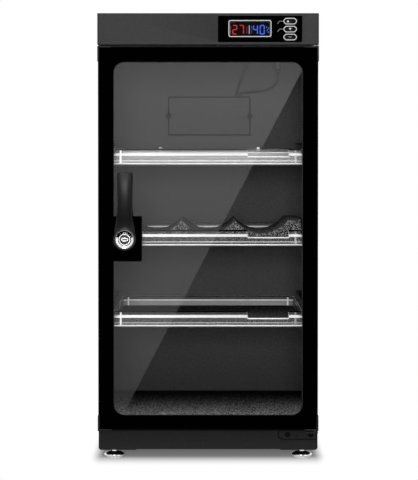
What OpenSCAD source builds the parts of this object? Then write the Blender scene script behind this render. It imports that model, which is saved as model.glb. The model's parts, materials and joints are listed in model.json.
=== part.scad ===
// Camera dry cabinet: a steel cabinet with a glazed lockable door, three clear
// sliding trays, foam inserts, an electronic dehumidifier and four levelling feet.
// The front faces -Y, X is to the right of someone who faces the door, Z is up.
// The origin lies on the floor under the middle of the whole object.

/* [Cabinet body] */
// Width across the side panels
body_w = 340; // [320:1:380]
// Height from the floor to the top of the cabinet
body_h = 690; // [660:1:760]
// Depth of the steel body, from its front flange to the outside of its back panel
body_d = 291; // [270:1:340]
// Thickness of the steel sheet
sheet_t = 1.2; // [0.8:0.1:1.5]
// Outer radius of a folded edge
bend_r = 2.4; // [1.8:0.1:3]
// Width of the front flange that the door seals on
flange_w = 12; // [11:0.5:12.5]
// Height of the plinth tray
plinth_h = 31; // [26:1:36]
// Height of the folded front edge under the floor panel
floor_edge_h = 13; // [12.5:0.5:14]
// Height of the electronics bay, from the ceiling panel to the top
bay_h = 58; // [56:1:66]
// Height of the front header
header_h = 48.5; // [47:0.5:51]
// Thickness of the header's walls
header_t = 2.5; // [2:0.1:3]

/* [Door] */
// Thickness of the door frame
door_t = 18.5; // [17:0.5:21]
// Space behind the door that its gasket fills
seal_gap = 3.5; // [3:0.1:5]
// Width of the frame profiles
frame_w = 20; // [19:0.5:21]
// Wall of the frame profiles
frame_t = 1.6; // [1.2:0.1:2]
// Thickness of the glass pane
pane_t = 4; // [3:0.1:4.5]
// Width of the printed border, from the edge of the door to the window
border_w = 24.7; // [23:0.1:30]
// Radius of the window's corners
window_r = 16.5; // [8:0.5:24]
// How far the corner caps stand outside the frame profiles
cap_proud = 1; // [0.5:0.1:1.2]
// Width of a corner cap
cap_w = 22; // [21.5:0.5:24]
// Height of a corner cap
cap_h = 24; // [22:1:30]
// Diameter of the hinge pins
pin_d = 5; // [4:0.1:5.2]
// Distance from the edge of the door to the hinge axis
hinge_inset = 5.5; // [5.3:0.1:6]
// Width of the gasket
gasket_w = 11; // [10:0.1:11]

/* [Lock and handle] */
// Height of the lock's centre above the floor
lock_z = 343.5; // [330:0.5:352]
// Distance from the edge of the door to the lock's centre
lock_inset = 42.3; // [40:0.1:46]
// Width of the printed tab behind the lock, from the window's edge
tab_w = 43.4; // [40:0.1:60]
// Height of the printed tab
tab_h = 69; // [50:1:90]
// Length of the lever, from the lock's centre to its tip
lever_len = 102; // [90:1:110]
// Width of the lever at its waist
lever_waist = 21.5; // [18:0.5:24]
// Diameter of the handle's hub
hub_d = 35; // [34:0.5:38]
// How far the handle stands in front of the door
handle_reach = 24; // [22:0.5:28]
// Diameter of the spindle
spindle_d = 14; // [12:0.5:16]
// Diameter of the key plug
plug_d = 17.6; // [16:0.1:18.4]

/* [Trays] */
// Height of a tray
tray_h = 25.6; // [23:0.1:30]
// Distance between one tray and the next
tray_pitch = 126; // [118:1:130]
// Height of the lowest tray's rim above the floor panel
tray_rise = 170; // [160:1:180]
// Thickness of the clear plastic
tray_t = 2.4; // [2:0.1:2.8]
// Radius of a tray's corners
tray_r = 12; // [8:0.5:16]
// Width of a rail
rail_w = 19.2; // [18:0.1:20]
// Width of the finger notch in a tray's front
notch_w = 63.6; // [50:0.1:80]
// Depth of the finger notch
notch_h = 11.4; // [10:0.1:13]
// Thickness of the foam mats
mat_t = 7.5; // [5:0.1:9]
// Depth, from front to back, of the foam lens cradle
cradle_d = 180; // [120:1:210]
// Number of hollows in the lens cradle
cradle_count = 3; // [2:1:4]

/* [Control panel] */
// Width of the control panel
panel_w = 128.7; // [126:0.1:134]
// Height of the control panel
panel_h = 39.9; // [39.5:0.1:41]
// Thickness of the control panel
panel_t = 2; // [1.8:0.1:2.4]
// Width of the display window
display_w = 63.4; // [58:0.1:66]
// Height of the display window
display_h = 23.5; // [20:0.1:26]
// Width of a button
button_w = 21; // [18:0.1:22]
// Height of a button
button_h = 10.3; // [9:0.1:10.5]
// Travel of a button
button_travel = 0.6; // [0.4:0.05:0.8]

/* [Dehumidifier] */
// Width of the cover inside the cabinet
cover_w = 141; // [136:1:150]
// Height of the cover inside the cabinet
cover_h = 67; // [65:1:74]
// Thickness of the cover
cover_d = 6; // [5.5:0.1:8]
// Width of the housing behind the cabinet
unit_w = 184; // [180:1:200]
// Height of the housing behind the cabinet
unit_h = 120; // [112:1:126]
// Depth of the housing behind the cabinet
unit_d = 37; // [34:1:45]
// Diameter of the leads
cord_d = 4.5; // [3.5:0.1:5]

/* [Feet] */
// Gap between the floor and the plinth
foot_h = 16; // [14.5:0.5:20]
// Diameter of a foot
foot_d = 32.5; // [28:0.5:36]
// Diameter of a foot's threaded stud
stud_d = 8; // [6:0.5:9]

/* [Hidden] */
$fn = 64;
// One overrun serves every cut
cut = 1;
// Running clearance of a turning fit, on the radius
fit = 0.05;
// Clearance of a piece that is set in another
seat = 0.2;
// Clearance of a piece that slides on or past another
slide = 0.3;

// Levels above the floor
plinth_top = foot_h + plinth_h;
floor_z = plinth_top + floor_edge_h;
ceiling_z = body_h - bay_h;
header_z = body_h - header_h;
door_gap_top = 1.5;
door_gap_low = 0.5;
door_low = plinth_top + door_gap_low;
door_top = header_z - door_gap_top;

// Places from front to back
door_zone = door_t + seal_gap;
total_d = handle_reach + door_zone + body_d + unit_d;
door_y = handle_reach - total_d / 2;
flange_y = door_y + door_zone;
back_y = flange_y + body_d;
wall_y = back_y - sheet_t;
rear_y = back_y + unit_d;
half_w = body_w / 2;
inner_w = half_w - sheet_t;

// Door frame, pane and gasket
frame_x = half_w - cap_proud;
frame_low = door_low + cap_proud;
frame_top = door_top - cap_proud;
border_t = 0.3;
frame_lip = 2;
frame_back_r = 3;
frame_front_r = 1;
cap_lip = 3;
spigot_len = 12;
stile_low = door_low + cap_h;
stile_top = door_top - cap_h;
rail_x = half_w - cap_w;
pane_back = border_t + pane_t;
pane_x = frame_x - frame_lip - seat;
pane_low = frame_low + frame_lip + seat;
pane_top = frame_top - frame_lip - seat;
pane_r = 1;
window_x = half_w - border_w;
window_low = door_low + border_w;
window_top = door_top - border_w;
gasket_inset = 6.5;
gasket_lip = 1.2;
gasket_x = frame_x - gasket_inset;
gasket_low = frame_low + gasket_inset;
gasket_top = frame_top - gasket_inset;
gasket_t = seal_gap - slide;

// Hinges
bush_t = 1.4;
bush_lip = 1;
hinge_x = half_w - hinge_inset;
hinge_y = door_y + door_t / 2 + pane_back / 2 - bush_t / 2;
bush_r = pin_d / 2 + fit + bush_t;
bush_flange_r = bush_r + bush_lip;
bush_flange_t = 0.9;
pin_len = 12;
bracket_t = 2.5;
bracket_gap = 1.2;
bracket_w = 60.3;
bracket_h = 15;
bracket_r = 6;
bracket_arm_w = 20;
bracket_edge = 0.8;
bracket_top = door_low - bracket_gap;
screw_r = 3.9;
screw_t = 2.2;
screw_shank_r = 1.9;
screw_len = 8;
screw_inset = 9.8;
screw_drop = 5;
screw_pitch = 36;
spare_hole_r = 3.8;
spare_hole_pitch = 13.8;
bracket_screw_xs = [
    half_w - bracket_edge - screw_inset,
    half_w - bracket_edge - screw_inset - screw_pitch
];
bracket_screw_z = bracket_top - bracket_t - screw_drop;
upper_arm_x = half_w - header_t - seat;
upper_screw_x = upper_arm_x - bracket_arm_w + screw_r + bracket_edge;
upper_screw_z = header_z + header_t + bracket_arm_w - screw_r - bracket_edge;
ring_margin = 6.5;
wire_slot_share = 0.3;
screw_slot_share = 0.42;
lid_skirt = 14;

// Lock and handle
lock_x = lock_inset - half_w;
tab_r = 2.5;
tab_rise = 0.5;
sleeve_t = 2.8;
sleeve_r = spindle_d / 2 + fit + sleeve_t;
sleeve_flange_r = 16;
sleeve_flange_t = 1.5;
sleeve_back = door_t - 1;
lock_nut_r = sleeve_r + 4;
lock_nut_t = 5;
hub_back = sleeve_flange_t + slide;
hub_front_share = 0.62;
hub_front = handle_reach * hub_front_share;
hub_round = 2;
ring_inset = 3.1;
ring_r = hub_d / 2 - ring_inset;
ring_deep = 2.6;
ring_proud = 0.8;
ring_band = 1.3;
plug_r = plug_d / 2;
plug_floor = 3;
plug_proud = 0.4;
keyway_w = 12;
keyway_h = 6.4;
keyway_slot = 1.8;
keyway_deep = 1.2;
plug_deep = 6;
cam_gap = 1.5;
cam_t = 1.6;
cam_w = 14;
cam_reach_share = 0.6;
cam_len = lock_inset - cam_reach_share * flange_w;
cam_front = door_zone + sheet_t + cam_gap;
cam_square = 8;
cam_nut_t = 2.4;
cam_nut_r = 6.4;
tail_r = 3;

// Lever: its outline and its bow, as shares of its length and of its reach
lever_waist_share = 0.565;
lever_root_share = 0.22;
lever_root_flare_share = 0.33;
lever_tip_flare_share = 0.11;
lever_tip_share = 0.93;
lever_tip_w_share = 0.80;
lever_front_shares = [
    [0, 0.58], [0.2, 0.64], [0.4, 0.83], [0.58, 0.95], [0.74, 1], [0.88, 0.98], [1, 0.9]
];
lever_back_shares = [
    [0, 0.12], [0.2, 0.16], [0.4, 0.41], [0.58, 0.55], [0.74, 0.62], [0.88, 0.63], [1, 0.66]
];
lever_root_cap_share = 0.46;
lever_rings = 18;
lever_sides = 24;
lever_square = 2.6;

// Trays and rails
tray_clear = 0.7;
tray_front_gap = 15;
rail_gap = 1.6;
tray_x = inner_w - rail_w - rail_gap;
tray_y = flange_y + tray_front_gap;
tray_d = wall_y - cover_d - tray_clear - tray_y;
runner_gap = 1.5;
runner_x = half_w - flange_w - runner_gap;
ledge_drop = 8.1;
ledge_front = 4;
skirt_lift = 1.5;
runner_back = 6;
rail_over = 9.5;
rail_start = 5;
rail_end = 1;
notch_inset = 22.6;
notch_slant = 1.6;
notch_x0 = tray_x - notch_inset - notch_w;
foam_gap = 1.1;
foam_x = tray_x - tray_t - foam_gap;
foam_r = 8;
cradle_base = 17.5;
cradle_deep = 20.6;
cradle_land = 20;
cradle_front = tray_y + tray_t + foam_gap;
tray_levels = [for (i = [0 : 2]) floor_z + tray_rise + i * tray_pitch];
floor_mat_gap = 2.5;
floor_mat_r = 4;

// Control panel, with places from its centre
panel_inset = 26;
panel_x = half_w - panel_inset - panel_w / 2;
panel_z = header_z + header_h / 2;
panel_r = 1.5;
panel_proud = 0.5;
panel_pocket = panel_t - panel_proud;
panel_rim = 2;
display_inset_share = 0.3792;
display_x = panel_x - panel_w / 2 + panel_w * display_inset_share;
display_rise = 0.6;
display_r = 1.5;
display_gap = 0.6;
module_t = 6.4;
module_edge = 1.5;
button_inset_share = 0.1422;
button_x = panel_x + panel_w / 2 - panel_w * button_inset_share;
button_drop = 0.3;
button_pitch = 12.15;
button_proud = 0.8;
button_corner = 3.4;
button_flange = 1.8;
button_flange_t = 1.1;
button_stem_r = 2.5;
button_levels = [for (i = [1, 0, -1]) panel_z - button_drop + i * button_pitch];
switch_gap = 0.1;
switch_w = 6;
switch_t = 3.4;
switch_tip_r = 1.7;
switch_tip = 1;
board_t = 1.6;
board_front = panel_pocket + display_gap + module_t;
board_y = door_y + board_front;
board_over = 1.2;
post_w = 6;
post_h = 3;
post_edge = 12;
post_xs = [
    panel_x - panel_w / 2 + post_edge,
    (display_x + display_w / 2 + button_x - button_w / 2 - button_flange) / 2
];
header_round = 2.5;

// Electronics bay
power_x = -60;
power_w = 96;
power_d = 64;
power_setback = 120;
power_lift = 5;
power_post_r = 2.5;
coil_w = 34;
coil_h = 26;
can_r = 7;
can_h = 20;
inlet_x = -130;
inlet_drop = 29;
inlet_r = 6;
inlet_flange_r = 9;
inlet_flange_t = 2;
inlet_len = 12;
inlet_bore_r = 2.8;
inlet_pin_r = 1;
sensor_x = -60;
sensor_setback = 50;
sensor_w = 34;
sensor_d = 20;
sensor_h = 9;
sensor_slot = 2;
sensor_slots = 5;

// Dehumidifier
unit_x = 2;
cover_drop = 61;
cover_top = ceiling_z - cover_drop;
cover_z = cover_top - cover_h / 2;
cover_t = 1.5;
cover_r = 1.5;
cover_vent = 3.2;
cover_vent_deep = 2.2;
cover_vents = 4;
cover_notch_r = 5.9;
cover_ear_t = 1.2;
port_margin_x = 13.5;
port_margin_z = 9.5;
port_w = cover_w - 2 * port_margin_x;
port_h = cover_h - 2 * port_margin_z;
core_flange = 4;
core_flange_t = 1.5;
core_len = 26;
core_slots = 6;
core_slot_h = 3;
core_slot_deep = 8;
core_slot_w_share = 0.84;
unit_t = 2;
unit_r = 6;
unit_drop = 5.5;
unit_z = cover_z - unit_drop;
unit_slots = 7;
unit_slot_h = 4;
unit_slot_pitch = 9;
unit_slot_w_share = 0.6;
unit_boss_r = 4.5;
unit_screw_side = 8.5;
unit_screw_x = unit_w / 2 - unit_screw_side;
unit_screw_inset = 9;
unit_screw_z = unit_z - unit_h / 2 + unit_screw_inset;
unit_screw_head_r = 3.6;
unit_screw_head_t = 2.4;
unit_screw_len = 14;
cover_screw_xs = [unit_x - cover_w / 2, unit_x + cover_w / 2];
housing_screw_xs = [unit_x - unit_screw_x, unit_x + unit_screw_x];

// Leads: routes in X and Z from the top of the cover at the unit's centre
lead_gap = 1;
lead_y = wall_y - cord_d / 2 - lead_gap;
lead_sides = 10;
lead_steps = 3;
lead_up = [[46, 0], [46.5, 4], [49, 14], [53, 26], [57, 37], [61, 48], [64.5, 56], [65, 62], [65, 70]];
lead_side = [
    [52, 0], [52.6, 3], [56, 5.6], [62, 6.4], [70, 7], [80, 8], [90, 9.4], [99, 11.6],
    [107, 15.6], [113, 21.6], [116.4, 29], [117.2, 36], [117.2, 41.8]
];
lead_hole_r = cord_d / 2 + 0.5 * lead_gap;
plug_body_r = 7;
plug_nose_r = 4.2;
plug_nose_h = 4;
lead_side_end = cover_top + lead_side[len(lead_side) - 1][1];

// Feet
foot_inset_x = 24;
foot_inset_y = 17;
foot_xs = [foot_inset_x - half_w, half_w - foot_inset_x];
foot_ys = [flange_y + foot_inset_y, back_y - foot_inset_y];
foot_pad_h = 3;
foot_rim_h = 2;
foot_dome_h = 9;
foot_collar_r = 5.5;
foot_pad_step = 1.6;
stud_len = 20;
plate_t = 1.5;
plate_w = 56;
plate_inset = 2;
plate_boss_r = stud_d / 2 + 4;
plate_boss_h = 8;
stud_gap = 0.3;

// Shared shapes

// A block between two values on each axis
module block(x0, x1, y0, y1, z0, z1) {
    translate([x0, y0, z0])
        cube([x1 - x0, y1 - y0, z1 - z0]);
}

// A profile drawn in X and Z, with its thickness from y0 to y1
module facing(y0, y1) {
    translate([0, y1, 0])
        rotate([90, 0, 0])
            linear_extrude(height = y1 - y0)
                children();
}

// A profile drawn in Y and Z, stretched from x0 to x1
module along_x(x0, x1) {
    translate([x0, 0, 0])
        rotate([90, 0, 90])
            linear_extrude(height = x1 - x0)
                children();
}

// A round bar along Y
module bar_y(r, y0, y1) {
    translate([0, y1, 0])
        rotate([90, 0, 0])
            cylinder(r = r, h = y1 - y0);
}

// A rectangle between two corners, with rounded corners
module round_rect(x0, x1, z0, z1, r) {
    translate([x0 + r, z0])
        square([x1 - x0 - 2 * r, z1 - z0]);
    translate([x0, z0 + r])
        square([x1 - x0, z1 - z0 - 2 * r]);
    for (x = [x0 + r, x1 - r], z = [z0 + r, z1 - r])
        translate([x, z])
            circle(r = r);
}

// An angle of sheet with its fold at the origin and its legs along X and Y
module folded_angle(leg_x, leg_y, t, r) {
    translate([r, 0])
        square([leg_x - r, t]);
    translate([0, r])
        square([t, leg_y - r]);
    intersection() {
        square([r, r]);
        translate([r, r])
            difference() {
                circle(r = r);
                circle(r = r - t);
            }
    }
}

// A six-sided nut outline
module hexagon(r) {
    circle(r = r, $fn = 6);
}

// A solid that passes through a list of rings, each with the same number of points
module skin(rings) {
    n = len(rings[0]);
    m = len(rings);
    sides = [
        for (i = [0 : m - 2], j = [0 : n - 1])
            each [
                [i * n + j, (i + 1) * n + (j + 1) % n, i * n + (j + 1) % n],
                [i * n + j, (i + 1) * n + j, (i + 1) * n + (j + 1) % n]
            ]
    ];
    start = [for (j = [0 : n - 1]) j];
    end = [for (j = [n - 1 : -1 : 0]) (m - 1) * n + j];
    polyhedron(points = [for (ring = rings) each ring], faces = concat(sides, [start, end]));
}

// A point on a smooth curve through four points in a row
function between(a, b, c, d, t) =
    0.5 * (2 * b + (c - a) * t + (2 * a - 5 * b + 4 * c - d) * t * t
        + (3 * b - a - 3 * c + d) * t * t * t);

// The curve through all points of a list, with some steps between each two
function smooth(p, steps) = [
    for (i = [0 : len(p) - 2], k = [0 : steps - 1])
        between(p[max(i - 1, 0)], p[i], p[i + 1], p[min(i + 2, len(p) - 1)], k / steps),
    p[len(p) - 1]
];

// A value read from a list of pairs, with a smooth step between them
function read_curve(pairs, s, i = 0) =
    i >= len(pairs) - 2 || s <= pairs[i + 1][0]
        ? between(
            pairs[max(i - 1, 0)][1], pairs[i][1], pairs[i + 1][1],
            pairs[min(i + 2, len(pairs) - 1)][1],
            (s - pairs[i][0]) / (pairs[i + 1][0] - pairs[i][0]))
        : read_curve(pairs, s, i + 1);

// Steel body

module side_panel() {
    color("#1b1b1c")
        translate([-half_w, flange_y, plinth_top])
            linear_extrude(height = body_h - lid_skirt - plinth_top)
                folded_angle(flange_w, body_d, sheet_t, bend_r);
}

module left_side_panel() {
    side_panel();
}

module right_side_panel() {
    mirror([1, 0, 0])
        side_panel();
}

module top_panel() {
    color("#1d1d1e")
        facing(flange_y, back_y)
            difference() {
                union() {
                    translate([-half_w, body_h - lid_skirt])
                        square([body_w, lid_skirt - bend_r]);
                    round_rect(-half_w, half_w, body_h - lid_skirt, body_h, bend_r);
                }
                translate([-inner_w, body_h - lid_skirt - cut])
                    square([2 * inner_w, lid_skirt + cut - sheet_t]);
            }
}

module back_panel() {
    color("#232324")
        difference() {
            block(-inner_w, inner_w, wall_y, back_y, plinth_top, body_h - sheet_t);
            block(
                unit_x - port_w / 2 - seat, unit_x + port_w / 2 + seat,
                wall_y - cut, back_y + cut,
                cover_z - port_h / 2 - seat, cover_z + port_h / 2 + seat);
            for (x = cover_screw_xs)
                translate([x, 0, cover_z])
                    bar_y(screw_shank_r + seat, wall_y - cut, back_y + cut);
            for (x = housing_screw_xs)
                translate([x, 0, unit_screw_z])
                    bar_y(screw_shank_r + seat, wall_y - cut, back_y + cut);
            translate([inlet_x, 0, body_h - inlet_drop])
                bar_y(inlet_r + seat, wall_y - cut, back_y + cut);
        }
}

module base_plinth() {
    color("#262626")
        difference() {
            intersection() {
                translate([0, 0, foot_h])
                    linear_extrude(height = plinth_h)
                        round_rect(-half_w, half_w, flange_y, back_y, bend_r);
                facing(flange_y - cut, back_y + cut)
                    union() {
                        round_rect(-half_w, half_w, foot_h, plinth_top, bend_r);
                        translate([-half_w, foot_h + bend_r])
                            square([body_w, plinth_h - bend_r]);
                    }
            }
            block(
                -inner_w, inner_w, flange_y + sheet_t, wall_y,
                foot_h + sheet_t, plinth_top + cut);
            for (x = foot_xs, y = foot_ys)
                translate([x, y, foot_h - cut])
                    cylinder(r = plate_boss_r + seat, h = sheet_t + 2 * cut);
            for (x = bracket_screw_xs)
                translate([x, 0, bracket_screw_z])
                    bar_y(screw_shank_r + seat, flange_y - cut, flange_y + sheet_t + cut);
        }
}

module floor_panel() {
    color("#1f1f20")
        union() {
            block(
                flange_w - half_w, half_w - flange_w, flange_y, flange_y + sheet_t,
                plinth_top, floor_z);
            block(-inner_w, inner_w, flange_y + sheet_t, wall_y, floor_z - sheet_t, floor_z);
        }
}

module ceiling_panel() {
    ring_low = min(ceiling_z, gasket_top - gasket_w + ring_margin);
    color("#1f1f20")
        difference() {
            union() {
                block(
                    flange_w - half_w, half_w - flange_w, flange_y, flange_y + sheet_t,
                    ring_low, body_h - sheet_t);
                block(
                    -inner_w, inner_w, flange_y + sheet_t, wall_y,
                    ceiling_z, ceiling_z + sheet_t);
            }
            block(
                panel_x - panel_w * wire_slot_share, panel_x + panel_w * wire_slot_share,
                flange_y - cut, flange_y + sheet_t + cut,
                panel_z - header_h * wire_slot_share, panel_z + header_h * wire_slot_share);
            translate([upper_screw_x, 0, upper_screw_z])
                bar_y(screw_shank_r + seat, flange_y - cut, flange_y + sheet_t + cut);
            translate([unit_x + lead_up[len(lead_up) - 1][0], lead_y, ceiling_z - cut])
                cylinder(r = lead_hole_r, h = sheet_t + 2 * cut);
        }
}

module front_header() {
    inner_low = header_z + header_t;
    inner_top = body_h - header_t;
    inner_x = half_w - header_t;
    color("#414142")
        difference() {
            intersection() {
                facing(door_y, flange_y)
                    round_rect(-half_w, half_w, header_z, body_h, header_round / 2);
                along_x(-half_w, half_w)
                    union() {
                        round_rect(door_y, flange_y, header_z, body_h, header_round / 2);
                        translate([door_y + header_round, header_z])
                            square([door_zone - header_round, header_h]);
                    }
                translate([0, 0, header_z])
                    linear_extrude(height = header_h)
                        union() {
                            round_rect(-half_w, half_w, door_y, flange_y, header_round);
                            translate([-half_w, door_y + header_round])
                                square([body_w, door_zone - header_round]);
                        }
            }
            header_cavity(inner_x, inner_low, inner_top);
            facing(door_y - cut, door_y + panel_pocket)
                panel_outline(seat);
            facing(door_y, door_y + header_t + cut)
                panel_outline(-panel_rim);
            translate([hinge_x, hinge_y, header_z - cut])
                cylinder(r = pin_d / 2 + slide, h = header_t + 2 * cut);
        }
}

// The hollow of the header, less the posts that carry the control board
module header_cavity(inner_x, inner_low, inner_top) {
    difference() {
        block(
            -inner_x, inner_x, door_y + header_t, flange_y + cut,
            inner_low, inner_top);
        for (x = post_xs, z = [inner_low, inner_top - post_h])
            translate([x - post_w / 2, door_y, z - post_h])
                cube([post_w, board_front, 3 * post_h]);
    }
}

module panel_outline(grow) {
    round_rect(
        panel_x - panel_w / 2 - grow, panel_x + panel_w / 2 + grow,
        panel_z - panel_h / 2 - grow, panel_z + panel_h / 2 + grow, panel_r);
}

// Hinges

module upper_hinge_bracket() {
    plate_low = header_z + header_t;
    color("#3a3a3c")
        difference() {
            union() {
                block(
                    upper_arm_x - bracket_arm_w, upper_arm_x,
                    door_y + header_t + seat, flange_y,
                    plate_low, plate_low + bracket_t);
                block(
                    upper_arm_x - bracket_arm_w, upper_arm_x, flange_y - bracket_t, flange_y,
                    plate_low, plate_low + bracket_arm_w);
                translate([hinge_x, hinge_y, door_top - pin_len])
                    cylinder(r = pin_d / 2, h = plate_low + bracket_t - door_top + pin_len);
            }
            translate([upper_screw_x, 0, upper_screw_z])
                bar_y(screw_shank_r + seat, flange_y - bracket_t - cut, flange_y + cut);
        }
}

module lower_hinge_bracket() {
    x0 = half_w - bracket_edge - bracket_w;
    x1 = half_w - bracket_edge;
    z0 = bracket_top - bracket_h;
    color("#1c1c1d")
        difference() {
            union() {
                facing(flange_y - bracket_t, flange_y)
                    union() {
                        round_rect(x0, x1, z0, bracket_top, bracket_r);
                        translate([x0 + bracket_r, z0])
                            square([bracket_w - bracket_r, bracket_h]);
                        translate([x0, z0 + bracket_r])
                            square([bracket_w, bracket_h - bracket_r]);
                    }
                block(
                    x1 - bracket_arm_w, x1, door_y, flange_y,
                    bracket_top - bracket_t, bracket_top);
                translate([hinge_x, hinge_y, bracket_top - bracket_t])
                    cylinder(r = pin_d / 2, h = bracket_t + bracket_gap + pin_len);
            }
            for (x = bracket_screw_xs)
                translate([x, 0, bracket_screw_z])
                    bar_y(screw_shank_r + seat, flange_y - bracket_t - cut, flange_y + cut);
            translate([bracket_screw_xs[1] + spare_hole_pitch, 0, bracket_screw_z])
                bar_y(spare_hole_r, flange_y - bracket_t - cut, flange_y + cut);
        }
}

// A pan-head screw along Y, with the underside of its head at y
module pan_screw(y, head_r, head_t, len, shank_r) {
    bar_y(shank_r, y, y + len);
    translate([0, y, 0])
        rotate([90, 0, 0])
            rotate_extrude()
                difference() {
                    union() {
                        square([head_r, head_t / 2]);
                        square([head_r - head_t / 2, head_t]);
                        translate([head_r - head_t / 2, head_t / 2])
                            circle(r = head_t / 2);
                    }
                    translate([-cut, head_t / 2])
                        square([cut + head_r * screw_slot_share, head_t]);
                    translate([-cut - head_r, -head_t])
                        square([cut + head_r, 3 * head_t]);
                    translate([0, -head_t])
                        square([2 * head_r, head_t]);
                }
}

module hinge_screws() {
    color("#101011")
        union() {
            for (x = bracket_screw_xs)
                translate([x, 0, bracket_screw_z])
                    pan_screw(flange_y - bracket_t, screw_r, screw_t, screw_len, screw_shank_r);
            translate([upper_screw_x, 0, upper_screw_z])
                pan_screw(flange_y - bracket_t, screw_r, screw_t, screw_len, screw_shank_r);
        }
}

// Door

module door_glass() {
    color([0.7, 0.8, 0.8, 0.3])
        difference() {
            facing(door_y + border_t, door_y + pane_back)
                round_rect(-pane_x, pane_x, pane_low, pane_top, pane_r);
            translate([lock_x, 0, lock_z])
                bar_y(sleeve_r + seat, door_y, door_y + door_t);
        }
}

module glass_border() {
    color("#050505")
        facing(door_y, door_y + border_t)
            difference() {
                round_rect(-pane_x, pane_x, pane_low, pane_top, pane_r);
                difference() {
                    round_rect(-window_x, window_x, window_low, window_top, window_r);
                    round_rect(
                        -window_x - window_r, tab_w - window_x,
                        lock_z + tab_rise - tab_h / 2, lock_z + tab_rise + tab_h / 2, tab_r);
                }
                translate([lock_x, lock_z])
                    circle(r = sleeve_r + seat);
            }
}

// Cross-section of a frame profile: u from its outer edge inwards, v from the
// front of the door backwards
module frame_profile() {
    difference() {
        union() {
            translate([0, frame_front_r])
                square([frame_lip, door_t - frame_front_r - frame_back_r]);
            translate([frame_front_r, 0])
                square([frame_lip - frame_front_r, door_t / 2]);
            translate([frame_front_r, frame_front_r])
                circle(r = frame_front_r);
            translate([frame_back_r, frame_back_r + pane_back])
                square([frame_w - frame_back_r, door_t - pane_back - frame_back_r]);
            translate([0, pane_back])
                square([frame_w, door_t - pane_back - frame_back_r]);
            translate([frame_back_r, door_t - frame_back_r])
                circle(r = frame_back_r);
        }
        profile_hollow(0);
    }
}

// The hollow of a frame profile, or with a clearance the spigot that fits it
module profile_hollow(clear) {
    translate([frame_t + clear, pane_back + frame_t + clear])
        square([
            frame_w - 2 * frame_t - 2 * clear,
            door_t - pane_back - 2 * frame_t - frame_back_r / 2 - 2 * clear
        ]);
}

// A profile that stands on the left edge of the door, from z0 to z1
module upright(z0, z1) {
    translate([-frame_x, door_y, z0])
        linear_extrude(height = z1 - z0)
            children();
}

// A profile that lies on the bottom edge of the door, from -x1 to x1
module lying(x1) {
    translate([-x1, door_y, frame_low])
        rotate([90, 0, 90])
            linear_extrude(height = 2 * x1)
                mirror([1, -1])
                    children();
}

module flip_z() {
    translate([0, 0, frame_low + frame_top])
        mirror([0, 0, 1])
            children();
}

module door_left_stile() {
    color("#0c0c0d")
        upright(stile_low, stile_top)
            frame_profile();
}

module door_right_stile() {
    mirror([1, 0, 0])
        door_left_stile();
}

module door_bottom_rail() {
    color("#0c0c0d")
        lying(rail_x)
            frame_profile();
}

module door_top_rail() {
    flip_z()
        door_bottom_rail();
}

// The cap of the bottom left corner, with spigots into both profiles
module corner_cap() {
    difference() {
        union() {
            translate([0, 0, door_low])
                linear_extrude(height = cap_h)
                    cap_plan();
            translate([0, 0, -seat])
                upright(door_low + cap_h - cut, door_low + cap_h + spigot_len)
                    profile_hollow(seat);
            intersection() {
                lying(rail_x + spigot_len)
                    profile_hollow(seat);
                block(
                    -rail_x - cut, spigot_len - rail_x, door_y, door_y + door_t,
                    door_low, door_low + cap_h);
            }
        }
        facing(door_y - cut, door_y + pane_back)
            translate([-half_w + cap_lip, door_low + cap_lip])
                square([cap_w + spigot_len, cap_h + spigot_len]);
    }
}

// The plan of a corner cap, with rounded front and back outer edges
module cap_plan() {
    translate([-half_w, door_y]) {
        translate([frame_back_r, 0])
            square([cap_w - frame_back_r, door_t]);
        translate([0, frame_front_r])
            square([cap_w, door_t - frame_front_r - frame_back_r]);
        translate([frame_front_r, 0])
            square([cap_w - frame_front_r, frame_back_r]);
        translate([frame_front_r, frame_front_r])
            circle(r = frame_front_r);
        translate([frame_back_r, door_t - frame_back_r])
            circle(r = frame_back_r);
    }
}

module flip_door() {
    translate([0, 0, door_low + door_top])
        mirror([0, 0, 1])
            children();
}

module left_corner_caps() {
    color("#141415")
        union() {
            corner_cap();
            flip_door()
                corner_cap();
        }
}

module right_corner_caps() {
    color("#141415")
        difference() {
            mirror([1, 0, 0])
                left_corner_caps();
            for (z = [door_low - cut, door_top - pin_len - slide])
                translate([hinge_x, hinge_y, z])
                    cylinder(r = bush_r, h = pin_len + slide + cut);
        }
}

module hinge_bush() {
    difference() {
        union() {
            cylinder(r = bush_r, h = pin_len + slide);
            translate([0, 0, -bush_flange_t])
                cylinder(r = bush_flange_r, h = bush_flange_t);
        }
        translate([0, 0, -bush_flange_t - cut])
            cylinder(r = pin_d / 2 + fit, h = pin_len + bush_flange_t + slide + 2 * cut);
    }
}

module hinge_bushes() {
    color("#d8d8d2")
        union() {
            translate([hinge_x, hinge_y, door_low])
                hinge_bush();
            translate([hinge_x, hinge_y, door_top])
                mirror([0, 0, 1])
                    hinge_bush();
        }
}

module gasket_ring(inset, y0, y1) {
    facing(y0, y1)
        difference() {
            translate([inset - gasket_x, gasket_low + inset])
                square([2 * gasket_x - 2 * inset, gasket_top - gasket_low - 2 * inset]);
            translate([gasket_w - inset - gasket_x, gasket_low + gasket_w - inset])
                square([
                    2 * gasket_x - 2 * gasket_w + 2 * inset,
                    gasket_top - gasket_low - 2 * gasket_w + 2 * inset
                ]);
        }
}

module door_gasket() {
    back = door_y + door_t;
    color("#1a1a1a")
        union() {
            gasket_ring(0, back, back + gasket_t - gasket_lip);
            gasket_ring(gasket_lip, back, back + gasket_t);
        }
}

// Lock and handle, drawn round the lock's axis

module at_lock() {
    translate([lock_x, door_y, lock_z])
        children();
}

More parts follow.
